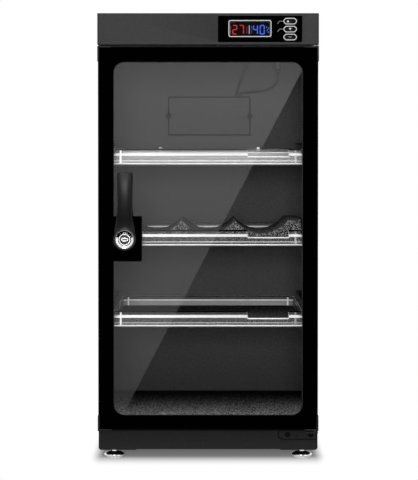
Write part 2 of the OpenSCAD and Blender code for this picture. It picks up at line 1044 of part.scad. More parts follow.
module lock_body() {
    color("#2a2a2b")
        at_lock()
            difference() {
                union() {
                    bar_y(sleeve_flange_r, -sleeve_flange_t, 0);
                    bar_y(sleeve_r, -sleeve_flange_t, sleeve_back);
                }
                bar_y(spindle_d / 2 + fit, -sleeve_flange_t - cut, sleeve_back + cut);
            }
}

module lock_nut() {
    color("#b9bcc0")
        at_lock()
            difference() {
                facing(pane_back, pane_back + lock_nut_t)
                    hexagon(lock_nut_r);
                bar_y(sleeve_r, pane_back - cut, pane_back + lock_nut_t + cut);
            }
}

// Half the width of the lever at a share s of its length
function lever_half(s) =
    let (
        off = s - lever_waist_share,
        root = lever_root_flare_share * pow(off / (lever_waist_share - lever_root_share), 2),
        tip = lever_tip_flare_share * pow(off / (1 - lever_waist_share), 2)
    )
    lever_waist / 2 * (1 + (off < 0 ? min(root, lever_root_cap_share) : tip));

// How much of the lever's width is left at a share s, as its tip rounds off
function lever_tip(s) =
    s < lever_tip_share ? 1
    : lever_tip_w_share + (1 - lever_tip_w_share)
        * sqrt(max(0, 1 - pow((s - lever_tip_share) / (1 - lever_tip_share), 2)));

// A cross-section of the lever at a share s of its length
function lever_ring(s) =
    let (
        front = -handle_reach * min(1, read_curve(lever_front_shares, s)),
        back = -handle_reach * read_curve(lever_back_shares, s),
        mid = (front + back) / 2,
        deep = (back - front) / 2 * lever_tip(s),
        half = lever_half(s) * lever_tip(s)
    )
    [
        for (i = [0 : lever_sides - 1])
            let (
                a = 360 * i / lever_sides,
                c = cos(a),
                d = sin(a)
            )
            [
                half * sign(c) * pow(abs(c), 2 / lever_square),
                mid + deep * sign(d) * pow(abs(d), 2 / lever_square),
                lever_len * s
            ]
    ];

module handle_lever() {
    color("#151516")
        at_lock()
            difference() {
                union() {
                    skin([
                        for (i = [0 : lever_rings])
                            lever_ring(lever_tip_share * i / lever_rings),
                        for (a = [30 : 30 : 90])
                            lever_ring(lever_tip_share + (1 - lever_tip_share) * sin(a))
                    ]);
                    hub();
                    bar_y(spindle_d / 2, -hub_back - cut, cam_front);
                    block(
                        -cam_square / 2, cam_square / 2, cam_front - cut, cam_front + cam_t,
                        -cam_square / 2, cam_square / 2);
                    bar_y(tail_r, cam_front, cam_front + cam_t + cam_nut_t);
                }
                bar_y(ring_r + seat, -handle_reach - cut, ring_deep - hub_front);
                bar_y(plug_r + fit, -handle_reach - cut, -hub_back - plug_floor);
            }
}

module hub() {
    rotate([90, 0, 0])
        rotate_extrude()
            difference() {
                union() {
                    translate([0, hub_back])
                        square([hub_d / 2, hub_front - hub_back - hub_round]);
                    translate([0, hub_back])
                        square([hub_d / 2 - hub_round, hub_front - hub_back]);
                    translate([hub_d / 2 - hub_round, hub_front - hub_round])
                        circle(r = hub_round);
                }
                translate([-hub_d, -hub_d])
                    square([hub_d, 3 * hub_d]);
            }
}

module lock_ring() {
    color("#dfe1e4")
        at_lock()
            rotate([90, 0, 0])
                rotate_extrude()
                    polygon([
                        [plug_r + seat, hub_front - ring_deep],
                        [ring_r, hub_front - ring_deep],
                        [ring_r, hub_front + ring_proud - ring_band / 2],
                        [ring_r - ring_band / 3, hub_front + ring_proud],
                        [ring_r - ring_band, hub_front + ring_proud],
                        [plug_r + ring_band, hub_front - ring_band],
                        [plug_r + seat, hub_front - ring_band]
                    ]);
}

module latch_cam() {
    color("#b4b7bb")
        at_lock()
            difference() {
                facing(cam_front, cam_front + cam_t)
                    union() {
                        circle(r = cam_w / 2);
                        translate([-cam_w / 2, cam_w / 2 - cam_len])
                            square([cam_w, cam_len - cam_w / 2]);
                        translate([0, cam_w / 2 - cam_len])
                            circle(r = cam_w / 2);
                    }
                block(
                    -cam_square / 2 - fit, cam_square / 2 + fit, 0, cam_front + cam_t + cut,
                    -cam_square / 2 - fit, cam_square / 2 + fit);
            }
}

module cam_nut() {
    color("#b9bcc0")
        at_lock()
            difference() {
                facing(cam_front + cam_t, cam_front + cam_t + cam_nut_t)
                    hexagon(cam_nut_r);
                bar_y(tail_r, cam_front, cam_front + cam_t + cam_nut_t + cut);
            }
}

module key_plug() {
    front = hub_front + plug_proud;
    color("#c9ccd0")
        at_lock()
            difference() {
                bar_y(plug_r, -front, -hub_back - plug_floor);
                difference() {
                    bar_y(plug_r - ring_band, -front - cut, keyway_deep - front);
                    facing(-front - 2 * cut, keyway_deep - front + cut)
                        keyway_eye();
                }
                block(
                    -keyway_w / 3, keyway_w / 3, -front - cut, plug_deep - front,
                    -keyway_slot / 2, keyway_slot / 2);
            }
}

// The eye shape of the keyway's raised rim: two arcs that cross
module keyway_eye() {
    r = (keyway_w * keyway_w + keyway_h * keyway_h) / (4 * keyway_h);
    intersection_for (side = [-1, 1])
        translate([0, side * (r - keyway_h / 2)])
            circle(r = r);
}

// Trays and their rails

// The outline of a tray in X and Y, grown by a margin
module tray_plan(grow) {
    round_rect(
        -tray_x - grow, tray_x + grow, tray_y - grow, tray_y + tray_d + grow,
        max(tray_r + grow, tray_t));
}

module tray(top) {
    low = top - tray_h;
    ledge = top - ledge_drop;
    color([0.8, 0.85, 0.9, 0.35])
        difference() {
            union() {
                translate([0, 0, low])
                    linear_extrude(height = tray_h)
                        tray_plan(0);
                block(
                    -runner_x, runner_x, tray_y - ledge_front, tray_y + tray_d - runner_back - tray_r,
                    ledge - tray_t, ledge);
                block(
                    -runner_x, runner_x, tray_y - ledge_front, tray_y - ledge_front + tray_t,
                    low + skirt_lift, ledge);
            }
            translate([0, 0, low + tray_t])
                linear_extrude(height = tray_h)
                    tray_plan(-tray_t);
            tray_notch(top);
        }
}

// The finger notch, wider at its top left
module tray_notch(top) {
    facing(tray_y - ledge_front - cut, tray_y + tray_t + cut)
        polygon([
            [notch_x0, top - notch_h],
            [notch_x0 + notch_w, top - notch_h],
            [notch_x0 + notch_w, top + cut],
            [notch_x0 - notch_slant, top + cut]
        ]);
}

module upper_tray() {
    tray(tray_levels[2]);
}

module middle_tray() {
    tray(tray_levels[1]);
}

module lower_tray() {
    tray(tray_levels[0]);
}

module rail_pair(top) {
    rail_top = top + rail_over;
    lip = top - ledge_drop - tray_t - slide;
    color("#19191a")
        for (side = [0, 1])
            mirror([side, 0, 0])
                facing(tray_y + rail_start, wall_y - rail_end)
                    difference() {
                        translate([inner_w - rail_w, lip - sheet_t])
                            square([rail_w, rail_top - lip + sheet_t]);
                        translate([inner_w - rail_w - cut, lip])
                            square([rail_w - sheet_t + cut, rail_top - lip - sheet_t]);
                    }
}

module upper_tray_rails() {
    rail_pair(tray_levels[2]);
}

module middle_tray_rails() {
    rail_pair(tray_levels[1]);
}

module lower_tray_rails() {
    rail_pair(tray_levels[0]);
}

// Foam

module tray_mat(top) {
    translate([0, 0, top - tray_h + tray_t])
        color("#2b2b2b")
            linear_extrude(height = mat_t)
                round_rect(
                    -foam_x, foam_x, cradle_front, tray_y + tray_d - tray_t - foam_gap, foam_r);
}

module upper_tray_mat() {
    tray_mat(tray_levels[2]);
}

module lower_tray_mat() {
    tray_mat(tray_levels[0]);
}

module lens_cradle() {
    low = tray_levels[1] - tray_h + tray_t;
    peak = low + cradle_base + cradle_deep;
    pitch = 2 * (foam_x - cradle_land) / cradle_count;
    hollow_r = (pitch * pitch / 4 + cradle_deep * cradle_deep) / (2 * cradle_deep);
    color("#2b2b2b")
        intersection() {
            facing(cradle_front, cradle_front + cradle_d)
                difference() {
                    translate([-foam_x, low])
                        square([2 * foam_x, peak - low]);
                    for (i = [0 : cradle_count - 1])
                        translate([
                            cradle_land - foam_x + (i + 0.5) * pitch,
                            low + cradle_base + hollow_r
                        ])
                            circle(r = hollow_r);
                }
            translate([0, 0, low])
                linear_extrude(height = peak - low)
                    round_rect(
                        -foam_x, foam_x, cradle_front,
                        tray_y + tray_d - tray_t - foam_gap, foam_r);
        }
}

module floor_mat() {
    x = inner_w - floor_mat_gap;
    color("#262626")
        translate([0, 0, floor_z])
            linear_extrude(height = mat_t)
                round_rect(
                    -x, x, flange_y + floor_mat_gap, wall_y - floor_mat_gap, floor_mat_r);
}

// Control panel and its electronics

module button_outline(z, grow) {
    w = button_w / 2 + grow;
    h = button_h / 2 + grow;
    c = button_corner;
    translate([button_x, z])
        polygon([
            [c - w, -h], [w - c, -h], [w, c - h], [w, h - c],
            [w - c, h], [c - w, h], [-w, h - c], [-w, c - h]
        ]);
}

module display_outline(grow) {
    round_rect(
        display_x - display_w / 2 - grow, display_x + display_w / 2 + grow,
        panel_z + display_rise - display_h / 2 - grow,
        panel_z + display_rise + display_h / 2 + grow, display_r);
}

module control_panel() {
    color("#080808")
        facing(door_y - panel_proud, door_y + panel_pocket)
            difference() {
                panel_outline(0);
                display_outline(0);
                for (z = button_levels)
                    button_outline(z, seat);
            }
}

module display_lens() {
    color([0.15, 0.15, 0.18, 0.6])
        facing(door_y - panel_proud, door_y + panel_pocket)
            display_outline(-seat / 2);
}

module display_module() {
    front = door_y + panel_pocket + display_gap;
    color("#121214")
        facing(front, front + module_t)
            display_outline(-module_edge);
}

module push_button(z) {
    front = door_y - panel_proud - button_proud;
    flange = door_y + panel_pocket + switch_gap;
    stem_end = board_y - switch_t - switch_tip - switch_gap - button_travel;
    color("#0e0e0f")
        union() {
            facing(front, flange + button_flange_t)
                button_outline(z, 0);
            block(
                button_x - button_w / 2 - button_flange, button_x + button_w / 2 + button_flange,
                flange, flange + button_flange_t,
                z - button_h / 2, z + button_h / 2);
            translate([button_x, 0, z])
                bar_y(button_stem_r, flange, stem_end);
        }
}

module up_button() {
    push_button(button_levels[0]);
}

module down_button() {
    push_button(button_levels[1]);
}

module set_button() {
    push_button(button_levels[2]);
}

module control_board() {
    x = panel_w / 2 - board_over;
    z = header_h / 2 - header_t - board_over;
    color("#1d5a34")
        union() {
            block(
                panel_x - x, panel_x + x, board_y, board_y + board_t,
                panel_z - z, panel_z + z);
            for (level = button_levels) {
                block(
                    button_x - switch_w / 2, button_x + switch_w / 2,
                    board_y - switch_t, board_y,
                    level - switch_w / 2, level + switch_w / 2);
                translate([button_x, 0, level])
                    bar_y(switch_tip_r, board_y - switch_t - switch_tip, board_y - switch_t + cut);
            }
        }
}

module power_board() {
    y0 = flange_y + power_setback;
    z0 = ceiling_z + sheet_t + power_lift;
    x0 = power_x - power_w / 2;
    color("#1f5f38")
        union() {
            block(x0, x0 + power_w, y0, y0 + power_d, z0, z0 + board_t);
            for (x = [x0 + 2 * power_post_r, x0 + power_w - 2 * power_post_r])
                for (y = [y0 + 2 * power_post_r, y0 + power_d - 2 * power_post_r])
                    translate([x, y, z0 - power_lift])
                        cylinder(r = power_post_r, h = power_lift + cut);
            block(
                x0 + can_r, x0 + can_r + coil_w, y0 + can_r, y0 + can_r + coil_w,
                z0, z0 + board_t + coil_h);
            for (i = [0, 1])
                translate([x0 + power_w - 2 * can_r, y0 + (2 + 2.5 * i) * can_r, z0])
                    cylinder(r = can_r, h = board_t + can_h);
        }
}

module power_inlet() {
    color("#1a1a1b")
        translate([inlet_x, 0, body_h - inlet_drop])
            union() {
                difference() {
                    union() {
                        bar_y(inlet_flange_r, back_y, back_y + inlet_flange_t);
                        bar_y(inlet_r, back_y - inlet_len, back_y + inlet_flange_t);
                    }
                    bar_y(inlet_bore_r, back_y - inlet_len + cut, back_y + inlet_flange_t + cut);
                }
                bar_y(inlet_pin_r, back_y - inlet_len, back_y);
            }
}

module humidity_sensor() {
    y0 = flange_y + sensor_setback;
    pitch = sensor_w / (sensor_slots + 1);
    color("#e6e6e2")
        difference() {
            block(
                sensor_x - sensor_w / 2, sensor_x + sensor_w / 2, y0, y0 + sensor_d,
                ceiling_z - sensor_h, ceiling_z);
            for (i = [1 : sensor_slots])
                block(
                    sensor_x - sensor_w / 2 + i * pitch - sensor_slot / 2,
                    sensor_x - sensor_w / 2 + i * pitch + sensor_slot / 2,
                    y0 - cut, y0 + sensor_slot, ceiling_z - sensor_h + sensor_slot,
                    ceiling_z - sensor_slot);
        }
}

// Dehumidifier

module dehumidifier_cover() {
    x0 = unit_x - cover_w / 2;
    x1 = unit_x + cover_w / 2;
    z0 = cover_z - cover_h / 2;
    z1 = cover_z + cover_h / 2;
    front = wall_y - cover_d;
    color("#3b3b3c")
        difference() {
            union() {
                difference() {
                    facing(front, wall_y)
                        round_rect(x0, x1, z0, z1, cover_r);
                    block(
                        x0 + cover_t, x1 - cover_t, front + cover_t, wall_y + cut,
                        z0 + cover_t, z1 - cover_t);
                }
                intersection() {
                    block(x0, x1, front, wall_y, z0, z1);
                    for (x = cover_screw_xs)
                        translate([x, 0, cover_z])
                            bar_y(cover_notch_r + cover_t, front, wall_y);
                }
            }
            for (x = cover_screw_xs)
                translate([x, 0, cover_z]) {
                    bar_y(cover_notch_r, front - cut, wall_y - cover_ear_t);
                    bar_y(screw_shank_r + seat, front - cut, wall_y + cut);
                }
            for (x = [x0 - cut, x1 - cover_vent_deep], i = [1 : cover_vents], side = [-1, 1])
                translate([
                    x, front - cut,
                    cover_z + side * (cover_notch_r + (2 * i - 0.5) * cover_vent) - cover_vent / 2
                ])
                    cube([cover_vent_deep + cut, cover_d - cover_ear_t + cut, cover_vent]);
        }
}

module cover_screws() {
    color("#0d0d0e")
        for (x = cover_screw_xs)
            translate([x, 0, cover_z])
                pan_screw(
                    wall_y - cover_ear_t, screw_r, screw_t,
                    cover_ear_t + sheet_t + unit_t, screw_shank_r);
}

module dehumidifier_core() {
    x = port_w / 2;
    z = port_h / 2;
    color("#8d9094")
        translate([unit_x, 0, cover_z])
            difference() {
                union() {
                    block(
                        -x - core_flange, x + core_flange, wall_y - core_flange_t, wall_y,
                        -z - core_flange, z + core_flange);
                    block(-x, x, wall_y - core_flange_t, back_y + core_len, -z, z);
                }
                for (i = [0 : core_slots - 1])
                    translate([
                        -x * core_slot_w_share, wall_y - core_flange_t - cut,
                        (i - (core_slots - 1) / 2) * 2 * core_slot_h - core_slot_h / 2
                    ])
                        cube([2 * x * core_slot_w_share, core_slot_deep, core_slot_h]);
            }
}

module dehumidifier_housing() {
    x = unit_w / 2;
    z = unit_h / 2;
    color("#1b1b1c")
        translate([unit_x, 0, unit_z])
            difference() {
                union() {
                    difference() {
                        facing(back_y, rear_y)
                            round_rect(-x, x, -z, z, unit_r);
                        facing(back_y - cut, rear_y - unit_t)
                            round_rect(
                                unit_t - x, x - unit_t, unit_t - z, z - unit_t,
                                unit_r - unit_t);
                    }
                    for (side = [-1, 1])
                        translate([side * unit_screw_x, 0, unit_screw_z - unit_z])
                            bar_y(unit_boss_r, back_y, rear_y - unit_t / 2);
                }
                for (side = [-1, 1])
                    translate([side * unit_screw_x, 0, unit_screw_z - unit_z])
                        bar_y(screw_shank_r, back_y - cut, back_y + unit_screw_len);
                for (i = [0 : unit_slots - 1])
                    translate([
                        -x * unit_slot_w_share, rear_y - unit_t - cut,
                        (i - (unit_slots - 1) / 2) * unit_slot_pitch - unit_slot_h / 2
                    ])
                        cube([2 * x * unit_slot_w_share, unit_t + 2 * cut, unit_slot_h]);
            }
}

module housing_screws() {
    color("#d4d6d9")
        for (x = housing_screw_xs)
            translate([x, 0, unit_screw_z])
                pan_screw(
                    wall_y, unit_screw_head_r, unit_screw_head_t,
                    sheet_t + unit_screw_len - cut, screw_shank_r);
}

// A lead that follows a route in X and Z
module lead(route) {
    path = smooth(route, lead_steps);
    last = len(path) - 1;
    rings = [
        for (i = [0 : last])
            let (
                d = path[min(i + 1, last)] - path[max(i - 1, 0)],
                t = i == 0 || i == last ? [0, 1] : d / norm(d)
            )
            [
                for (k = [0 : lead_sides - 1])
                    let (a = 360 * k / lead_sides)
                    [
                        path[i][0] + cord_d / 2 * cos(a) * t[1],
                        cord_d / 2 * sin(a),
                        path[i][1] - cord_d / 2 * cos(a) * t[0]
                    ]
            ]
    ];
    skin(rings);
}

module dehumidifier_leads() {
    color("#1c1c1d")
        translate([unit_x, lead_y, cover_top])
            union() {
                lead(lead_up);
                lead(lead_side);
            }
}

module lead_connector() {
    color("#3a3a3b")
        translate([
            unit_x + lead_side[len(lead_side) - 1][0], lead_y - plug_body_r + cord_d / 2,
            lead_side_end
        ])
            union() {
                cylinder(r1 = plug_nose_r, r2 = plug_body_r, h = plug_nose_h);
                translate([0, 0, plug_nose_h])
                    cylinder(r = plug_body_r, h = ceiling_z - lead_side_end - plug_nose_h);
            }
}

// Feet

module foot_plates() {
    color("#161617")
        for (x = foot_xs, y = foot_ys)
            difference() {
                union() {
                    translate([
                        sign(x) * (half_w - plate_inset - plate_w / 2) - plate_w / 2,
                        sign(y) * (body_d / 2 - plate_inset - plate_w / 2)
                            + (flange_y + back_y) / 2 - plate_w / 2,
                        foot_h - plate_t
                    ])
                        cube([plate_w, plate_w, plate_t]);
                    translate([x, y, foot_h - plate_t])
                        cylinder(r = plate_boss_r, h = plate_t + plate_boss_h);
                }
                translate([x, y, foot_h - plate_t - cut])
                    cylinder(r = stud_d / 2 + stud_gap, h = plate_t + plate_boss_h + 2 * cut);
            }
}

module foot(x, y) {
    color("#c8cacd")
        translate([x, y, 0])
            rotate_extrude()
                polygon([
                    [0, 0],
                    [foot_d / 2 - foot_pad_step, 0],
                    [foot_d / 2 - foot_pad_step, foot_pad_h],
                    [foot_d / 2, foot_pad_h],
                    [foot_d / 2, foot_pad_h + foot_rim_h],
                    [foot_d / 2 - foot_pad_step, foot_pad_h + 2 * foot_rim_h],
                    [foot_collar_r, foot_dome_h],
                    [stud_d / 2, foot_dome_h],
                    [stud_d / 2, foot_dome_h + stud_len],
                    [0, foot_dome_h + stud_len]
                ]);
}

module front_left_foot() {
    foot(foot_xs[0], foot_ys[0]);
}

module front_right_foot() {
    foot(foot_xs[1], foot_ys[0]);
}

module rear_left_foot() {
    foot(foot_xs[0], foot_ys[1]);
}

module rear_right_foot() {
    foot(foot_xs[1], foot_ys[1]);
}

left_side_panel();
right_side_panel();
top_panel();
back_panel();
base_plinth();
floor_panel();
ceiling_panel();
front_header();
control_panel();
display_lens();
display_module();
control_board();
power_board();
power_inlet();
upper_hinge_bracket();
lower_hinge_bracket();
hinge_screws();
upper_tray_rails();
middle_tray_rails();
lower_tray_rails();
dehumidifier_cover();
cover_screws();
dehumidifier_core();
dehumidifier_housing();
housing_screws();
dehumidifier_leads();
lead_connector();
humidity_sensor();
floor_mat();
foot_plates();
door_glass();
glass_border();
door_top_rail();
door_bottom_rail();
door_left_stile();
door_right_stile();
left_corner_caps();
right_corner_caps();
door_gasket();
hinge_bushes();
lock_body();
lock_nut();
handle_lever();
lock_ring();
latch_cam();
cam_nut();
key_plug();
up_button();
down_button();
set_button();
upper_tray();
middle_tray();
lower_tray();
upper_tray_mat();
lens_cradle();
lower_tray_mat();
front_left_foot();
front_right_foot();
rear_left_foot();
rear_right_foot();
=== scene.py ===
"""The looks of the camera dry cabinet: camera, finishes, foam, trays, prints, lamps and floor."""

import json
import math

import bmesh
import bpy
from mathutils import Matrix, Vector

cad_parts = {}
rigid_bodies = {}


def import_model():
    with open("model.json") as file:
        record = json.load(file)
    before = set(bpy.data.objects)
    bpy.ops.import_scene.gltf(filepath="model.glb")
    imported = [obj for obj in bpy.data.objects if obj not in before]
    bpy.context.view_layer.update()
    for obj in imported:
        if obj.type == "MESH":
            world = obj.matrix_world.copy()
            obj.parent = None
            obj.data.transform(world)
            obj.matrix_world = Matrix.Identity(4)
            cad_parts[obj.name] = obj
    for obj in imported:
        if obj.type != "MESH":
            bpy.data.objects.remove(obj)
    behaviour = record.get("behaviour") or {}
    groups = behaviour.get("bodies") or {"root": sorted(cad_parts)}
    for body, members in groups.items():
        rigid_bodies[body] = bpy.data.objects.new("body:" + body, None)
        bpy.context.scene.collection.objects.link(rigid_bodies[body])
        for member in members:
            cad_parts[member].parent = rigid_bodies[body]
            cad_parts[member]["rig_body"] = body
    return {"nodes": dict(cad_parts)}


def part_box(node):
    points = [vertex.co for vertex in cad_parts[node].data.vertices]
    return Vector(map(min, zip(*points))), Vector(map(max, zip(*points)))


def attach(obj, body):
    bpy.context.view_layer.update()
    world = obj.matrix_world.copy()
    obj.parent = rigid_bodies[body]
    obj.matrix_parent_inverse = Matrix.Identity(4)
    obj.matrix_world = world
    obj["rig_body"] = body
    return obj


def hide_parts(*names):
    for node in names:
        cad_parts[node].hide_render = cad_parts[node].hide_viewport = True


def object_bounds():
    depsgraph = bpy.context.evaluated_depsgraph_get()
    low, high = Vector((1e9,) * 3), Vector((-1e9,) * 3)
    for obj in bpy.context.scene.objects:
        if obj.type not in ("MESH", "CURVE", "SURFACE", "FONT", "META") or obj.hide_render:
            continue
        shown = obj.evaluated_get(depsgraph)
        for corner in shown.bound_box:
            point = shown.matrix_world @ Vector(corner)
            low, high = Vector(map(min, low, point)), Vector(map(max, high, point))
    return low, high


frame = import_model()
CAD_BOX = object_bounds()
NODES = frame["nodes"]
MM = 0.001

# The photograph: its size, where its eye level and middle lie, and the scale at the door
IMAGE_W = 418
IMAGE_H = 480
EYE_LEVEL_PX = 145.1
MIDDLE_PX = 208.1
FLOOR_PX = 463.0
MM_PER_PX = 1.5345
CAMERA_AWAY = 2.7
SHIFT_PX = 58.0
SENSOR = 36.0

DOOR_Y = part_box("glass_border")[0].y
EYE_Z = (FLOOR_PX - EYE_LEVEL_PX) * MM_PER_PX * MM


def make_camera():
    """A long lens at eye level, part shifted and part tilted down, as the verticals ask."""
    focal_px = CAMERA_AWAY / (MM_PER_PX * MM)
    tilt = math.atan((IMAGE_H / 2 - EYE_LEVEL_PX - SHIFT_PX) / focal_px)
    data = bpy.data.cameras.new("camera")
    data.sensor_fit = "VERTICAL"
    data.sensor_height = SENSOR
    data.lens = SENSOR * focal_px / IMAGE_H
    data.shift_x = (IMAGE_W / 2 - MIDDLE_PX) / IMAGE_H
    data.shift_y = -SHIFT_PX / IMAGE_H
    data.clip_end = 50
    camera = bpy.data.objects.new("camera", data)
    camera.location = (0, DOOR_Y - CAMERA_AWAY, EYE_Z)
    camera.rotation_euler = (math.radians(90) - tilt, 0, 0)
    bpy.context.scene.collection.objects.link(camera)
    bpy.context.scene.camera = camera


make_camera()


# Material tools


def linear(code, alpha=1.0):
    """An sRGB hex colour as the linear colour that a socket takes."""
    parts = [int(code[i : i + 2], 16) / 255 for i in (1, 3, 5)]
    low = [c / 12.92 if c <= 0.04045 else ((c + 0.055) / 1.055) ** 2.4 for c in parts]
    return low + [alpha]


def grey(value):
    return (value, value, value, 1.0)


def add(tree, kind, settings=None, values=None, links=None, stops=None):
    """Adds a node with its settings, its sockets' own values, the sockets linked to it and its stops."""
    node = tree.nodes.new("ShaderNode" + kind)
    for name, value in (settings or {}).items():
        setattr(node, name, value)
    for name, value in (values or {}).items():
        node.inputs[name].default_value = value
    for name, source in (links or {}).items():
        tree.links.new(source, node.inputs[name])
    elements = node.color_ramp.elements if stops else []
    while len(elements) < len(stops or []):
        elements.new(0.5)
    for element, (at, colour) in zip(elements, stops or []):
        element.position = at
        element.color = colour
    return node


def new_material(name):
    """An empty node material, its tree and its output's surface socket."""
    material = bpy.data.materials.new(name)
    material.use_nodes = True
    tree = material.node_tree
    tree.nodes.clear()
    return material, tree, add(tree, "OutputMaterial").inputs["Surface"]


def per_mm(size_mm):
    """The scale at which a pattern's cells are about this many millimetres wide."""
    return 1 / (size_mm * MM)


# Finishes

# What is left of a wall's tone where painted shade darkens its foot, and of a mat's where its painted
# light has faded to black
PAINTED_SHADE_SHARE = 0.42
BLACK_SHARE = 0.06


def powder_coat(name, dark, light, roughness=0.42, shine=0.4, peel_mm=0.05, painted_shade_span=(-2, -1)):
    """Powder-coated steel sheet: an even dark coat with a fine orange peel and grain of tone.

    The peel of the real coat is about 0.5 mm, drawn at 1.1 mm so that it shows, and peel_mm high.
    painted_shade_span is from where to where in Z a wall goes from painted shade, darker, to its full
    tone. Without it that lies under the floor, so the whole wall has its full tone.
    """
    material, tree, surface = new_material(name)
    place = add(tree, "TexCoord").outputs["Object"]
    peel = add(tree, "TexNoise", values={"Scale": per_mm(1.1)}, links={"Vector": place})
    cloud = add(
        tree, "TexNoise", values={"Scale": per_mm(2.6), "Detail": 4.0}, links={"Vector": place}
    )
    tone = add(
        tree,
        "ValToRGB",
        links={"Fac": cloud.outputs["Fac"]},
        stops=[(0.3, linear(dark)), (0.7, linear(light))],
    )
    height = add(tree, "SeparateXYZ", links={"Vector": place}).outputs["Z"]
    # Painted shade: the tone is scaled down toward a wall's foot
    share = add(
        tree,
        "MapRange",
        values={"From Min": painted_shade_span[0], "From Max": painted_shade_span[1], "To Min": PAINTED_SHADE_SHARE},
        links={"Value": height},
    )
    shade = add(
        tree,
        "VectorMath",
        {"operation": "SCALE"},
        links={0: tone.outputs["Color"], "Scale": share.outputs["Result"]},
    )
    gloss = add(
        tree,
        "ValToRGB",
        links={"Fac": peel.outputs["Fac"]},
        stops=[(0.3, grey(roughness - 0.05)), (0.7, grey(roughness + 0.07))],
    )
    bump = add(
        tree,
        "Bump",
        values={"Distance": peel_mm * MM, "Strength": 0.6},
        links={"Height": peel.outputs["Fac"]},
    )
    coat = add(
        tree,
        "BsdfPrincipled",
        values={"Specular IOR Level": shine},
        links={
            "Base Color": shade.outputs["Vector"],
            "Roughness": gloss.outputs["Color"],
            "Normal": bump.outputs["Normal"],
        },
    )
    tree.links.new(coat.outputs[0], surface)
    return material


def moulded_plastic(name, colour, roughness=0.45, shine=0.45):
    """Moulded plastic: one even tone with the faint spark-eroded grain of its mould."""
    material, tree, surface = new_material(name)
    place = add(tree, "TexCoord").outputs["Object"]
    grain = add(tree, "TexNoise", values={"Scale": per_mm(0.8)}, links={"Vector": place})
    gloss = add(
        tree,
        "ValToRGB",
        links={"Fac": grain.outputs["Fac"]},
        stops=[(0.3, grey(roughness - 0.04)), (0.7, grey(roughness + 0.06))],
    )
    bump = add(
        tree,
        "Bump",
        values={"Distance": 0.02 * MM, "Strength": 0.5},
        links={"Height": grain.outputs["Fac"]},
    )
    plastic = add(
        tree,
        "BsdfPrincipled",
        values={"Base Color": linear(colour), "Specular IOR Level": shine},
        links={"Roughness": gloss.outputs["Color"], "Normal": bump.outputs["Normal"]},
    )
    tree.links.new(plastic.outputs[0], surface)
    return material


def plated_metal(name, colour, roughness=0.12, haze=0.08):
    """Plated or turned metal: bright, with a faint haze in its polish."""
    material, tree, surface = new_material(name)
    place = add(tree, "TexCoord").outputs["Object"]
    cloud = add(
        tree, "TexNoise", values={"Scale": per_mm(3), "Detail": 3.0}, links={"Vector": place}
    )
    gloss = add(
        tree,
        "ValToRGB",
        links={"Fac": cloud.outputs["Fac"]},
        stops=[(0.35, grey(roughness)), (0.75, grey(roughness + haze))],
    )
    metal = add(
        tree,
        "BsdfPrincipled",
        values={"Base Color": linear(colour), "Metallic": 1.0},
        links={"Roughness": gloss.outputs["Color"]},
    )
    tree.links.new(metal.outputs[0], surface)
    return material


def open_cell_foam(name, pore, wall, cell_mm=1.8, fade=(0, 1)):
    """Open-cell polyurethane foam: dark pores between paler walls, which show as pepper and salt.

    fade is where in Y the painted light on a mat's front fades out, so that the mat turns black again.
    """
    material, tree, surface = new_material(name)
    place = add(tree, "TexCoord").outputs["Object"]
    depth = add(tree, "SeparateXYZ", links={"Vector": place}).outputs["Y"]
    # Painted light: the tone is full at a mat's front and falls to BLACK_SHARE further back
    painted_light_share = add(
        tree,
        "MapRange",
        values={
            "From Min": fade[0],
            "From Max": fade[1],
            "To Min": 1.0,
            "To Max": BLACK_SHARE,
        },
        links={"Value": depth},
    )
    cells = add(tree, "TexVoronoi", values={"Scale": per_mm(cell_mm)}, links={"Vector": place})
    specks = add(
        tree,
        "TexNoise",
        values={"Scale": per_mm(1.3 * cell_mm), "Detail": 2.0, "Roughness": 0.7},
        links={"Vector": place},
    )
    both = add(
        tree,
        "Math",
        {"operation": "MULTIPLY"},
        links={0: cells.outputs["Distance"], 1: specks.outputs["Fac"]},
    )
    tone = add(
        tree,
        "ValToRGB",
        links={"Fac": both.outputs[0]},
        stops=[(0.2, linear(pore)), (0.36, linear(wall))],
    )
    shade = add(
        tree,
        "VectorMath",
        {"operation": "SCALE"},
        links={0: tone.outputs["Color"], "Scale": painted_light_share.outputs["Result"]},
    )
    bump = add(
        tree,
        "Bump",
        values={"Distance": 0.4 * MM, "Strength": 0.7},
        links={"Height": both.outputs[0]},
    )
    body = add(
        tree,
        "BsdfPrincipled",
        values={"Roughness": 0.95, "Specular IOR Level": 0.02},
        links={"Base Color": shade.outputs["Vector"], "Normal": bump.outputs["Normal"]},
    )
    tree.links.new(body.outputs[0], surface)
    return material


def float_glass(name, tint, lamp_tint):
    """The door's float glass: it mirrors the studio faintly, and lets the lamps' light through."""
    material, tree, surface = new_material(name)
    glass = add(
        tree,
        "BsdfPrincipled",
        values={
            "Base Color": linear(tint),
            "Roughness": 0.0,
            "IOR": 1.5,
            "Transmission Weight": 1.0,
        },
    )
    clear = add(tree, "BsdfTransparent", values={"Color": linear(lamp_tint)})
    path = add(tree, "LightPath")
    soft = add(
        tree,
        "Math",
        {"operation": "MAXIMUM"},
        links={0: path.outputs["Is Shadow Ray"], 1: path.outputs["Is Diffuse Ray"]},
    )
    mix = add(
        tree,
        "MixShader",
        links={0: soft.outputs[0], 1: glass.outputs[0], 2: clear.outputs[0]},
    )
    tree.links.new(mix.outputs[0], surface)
    return material


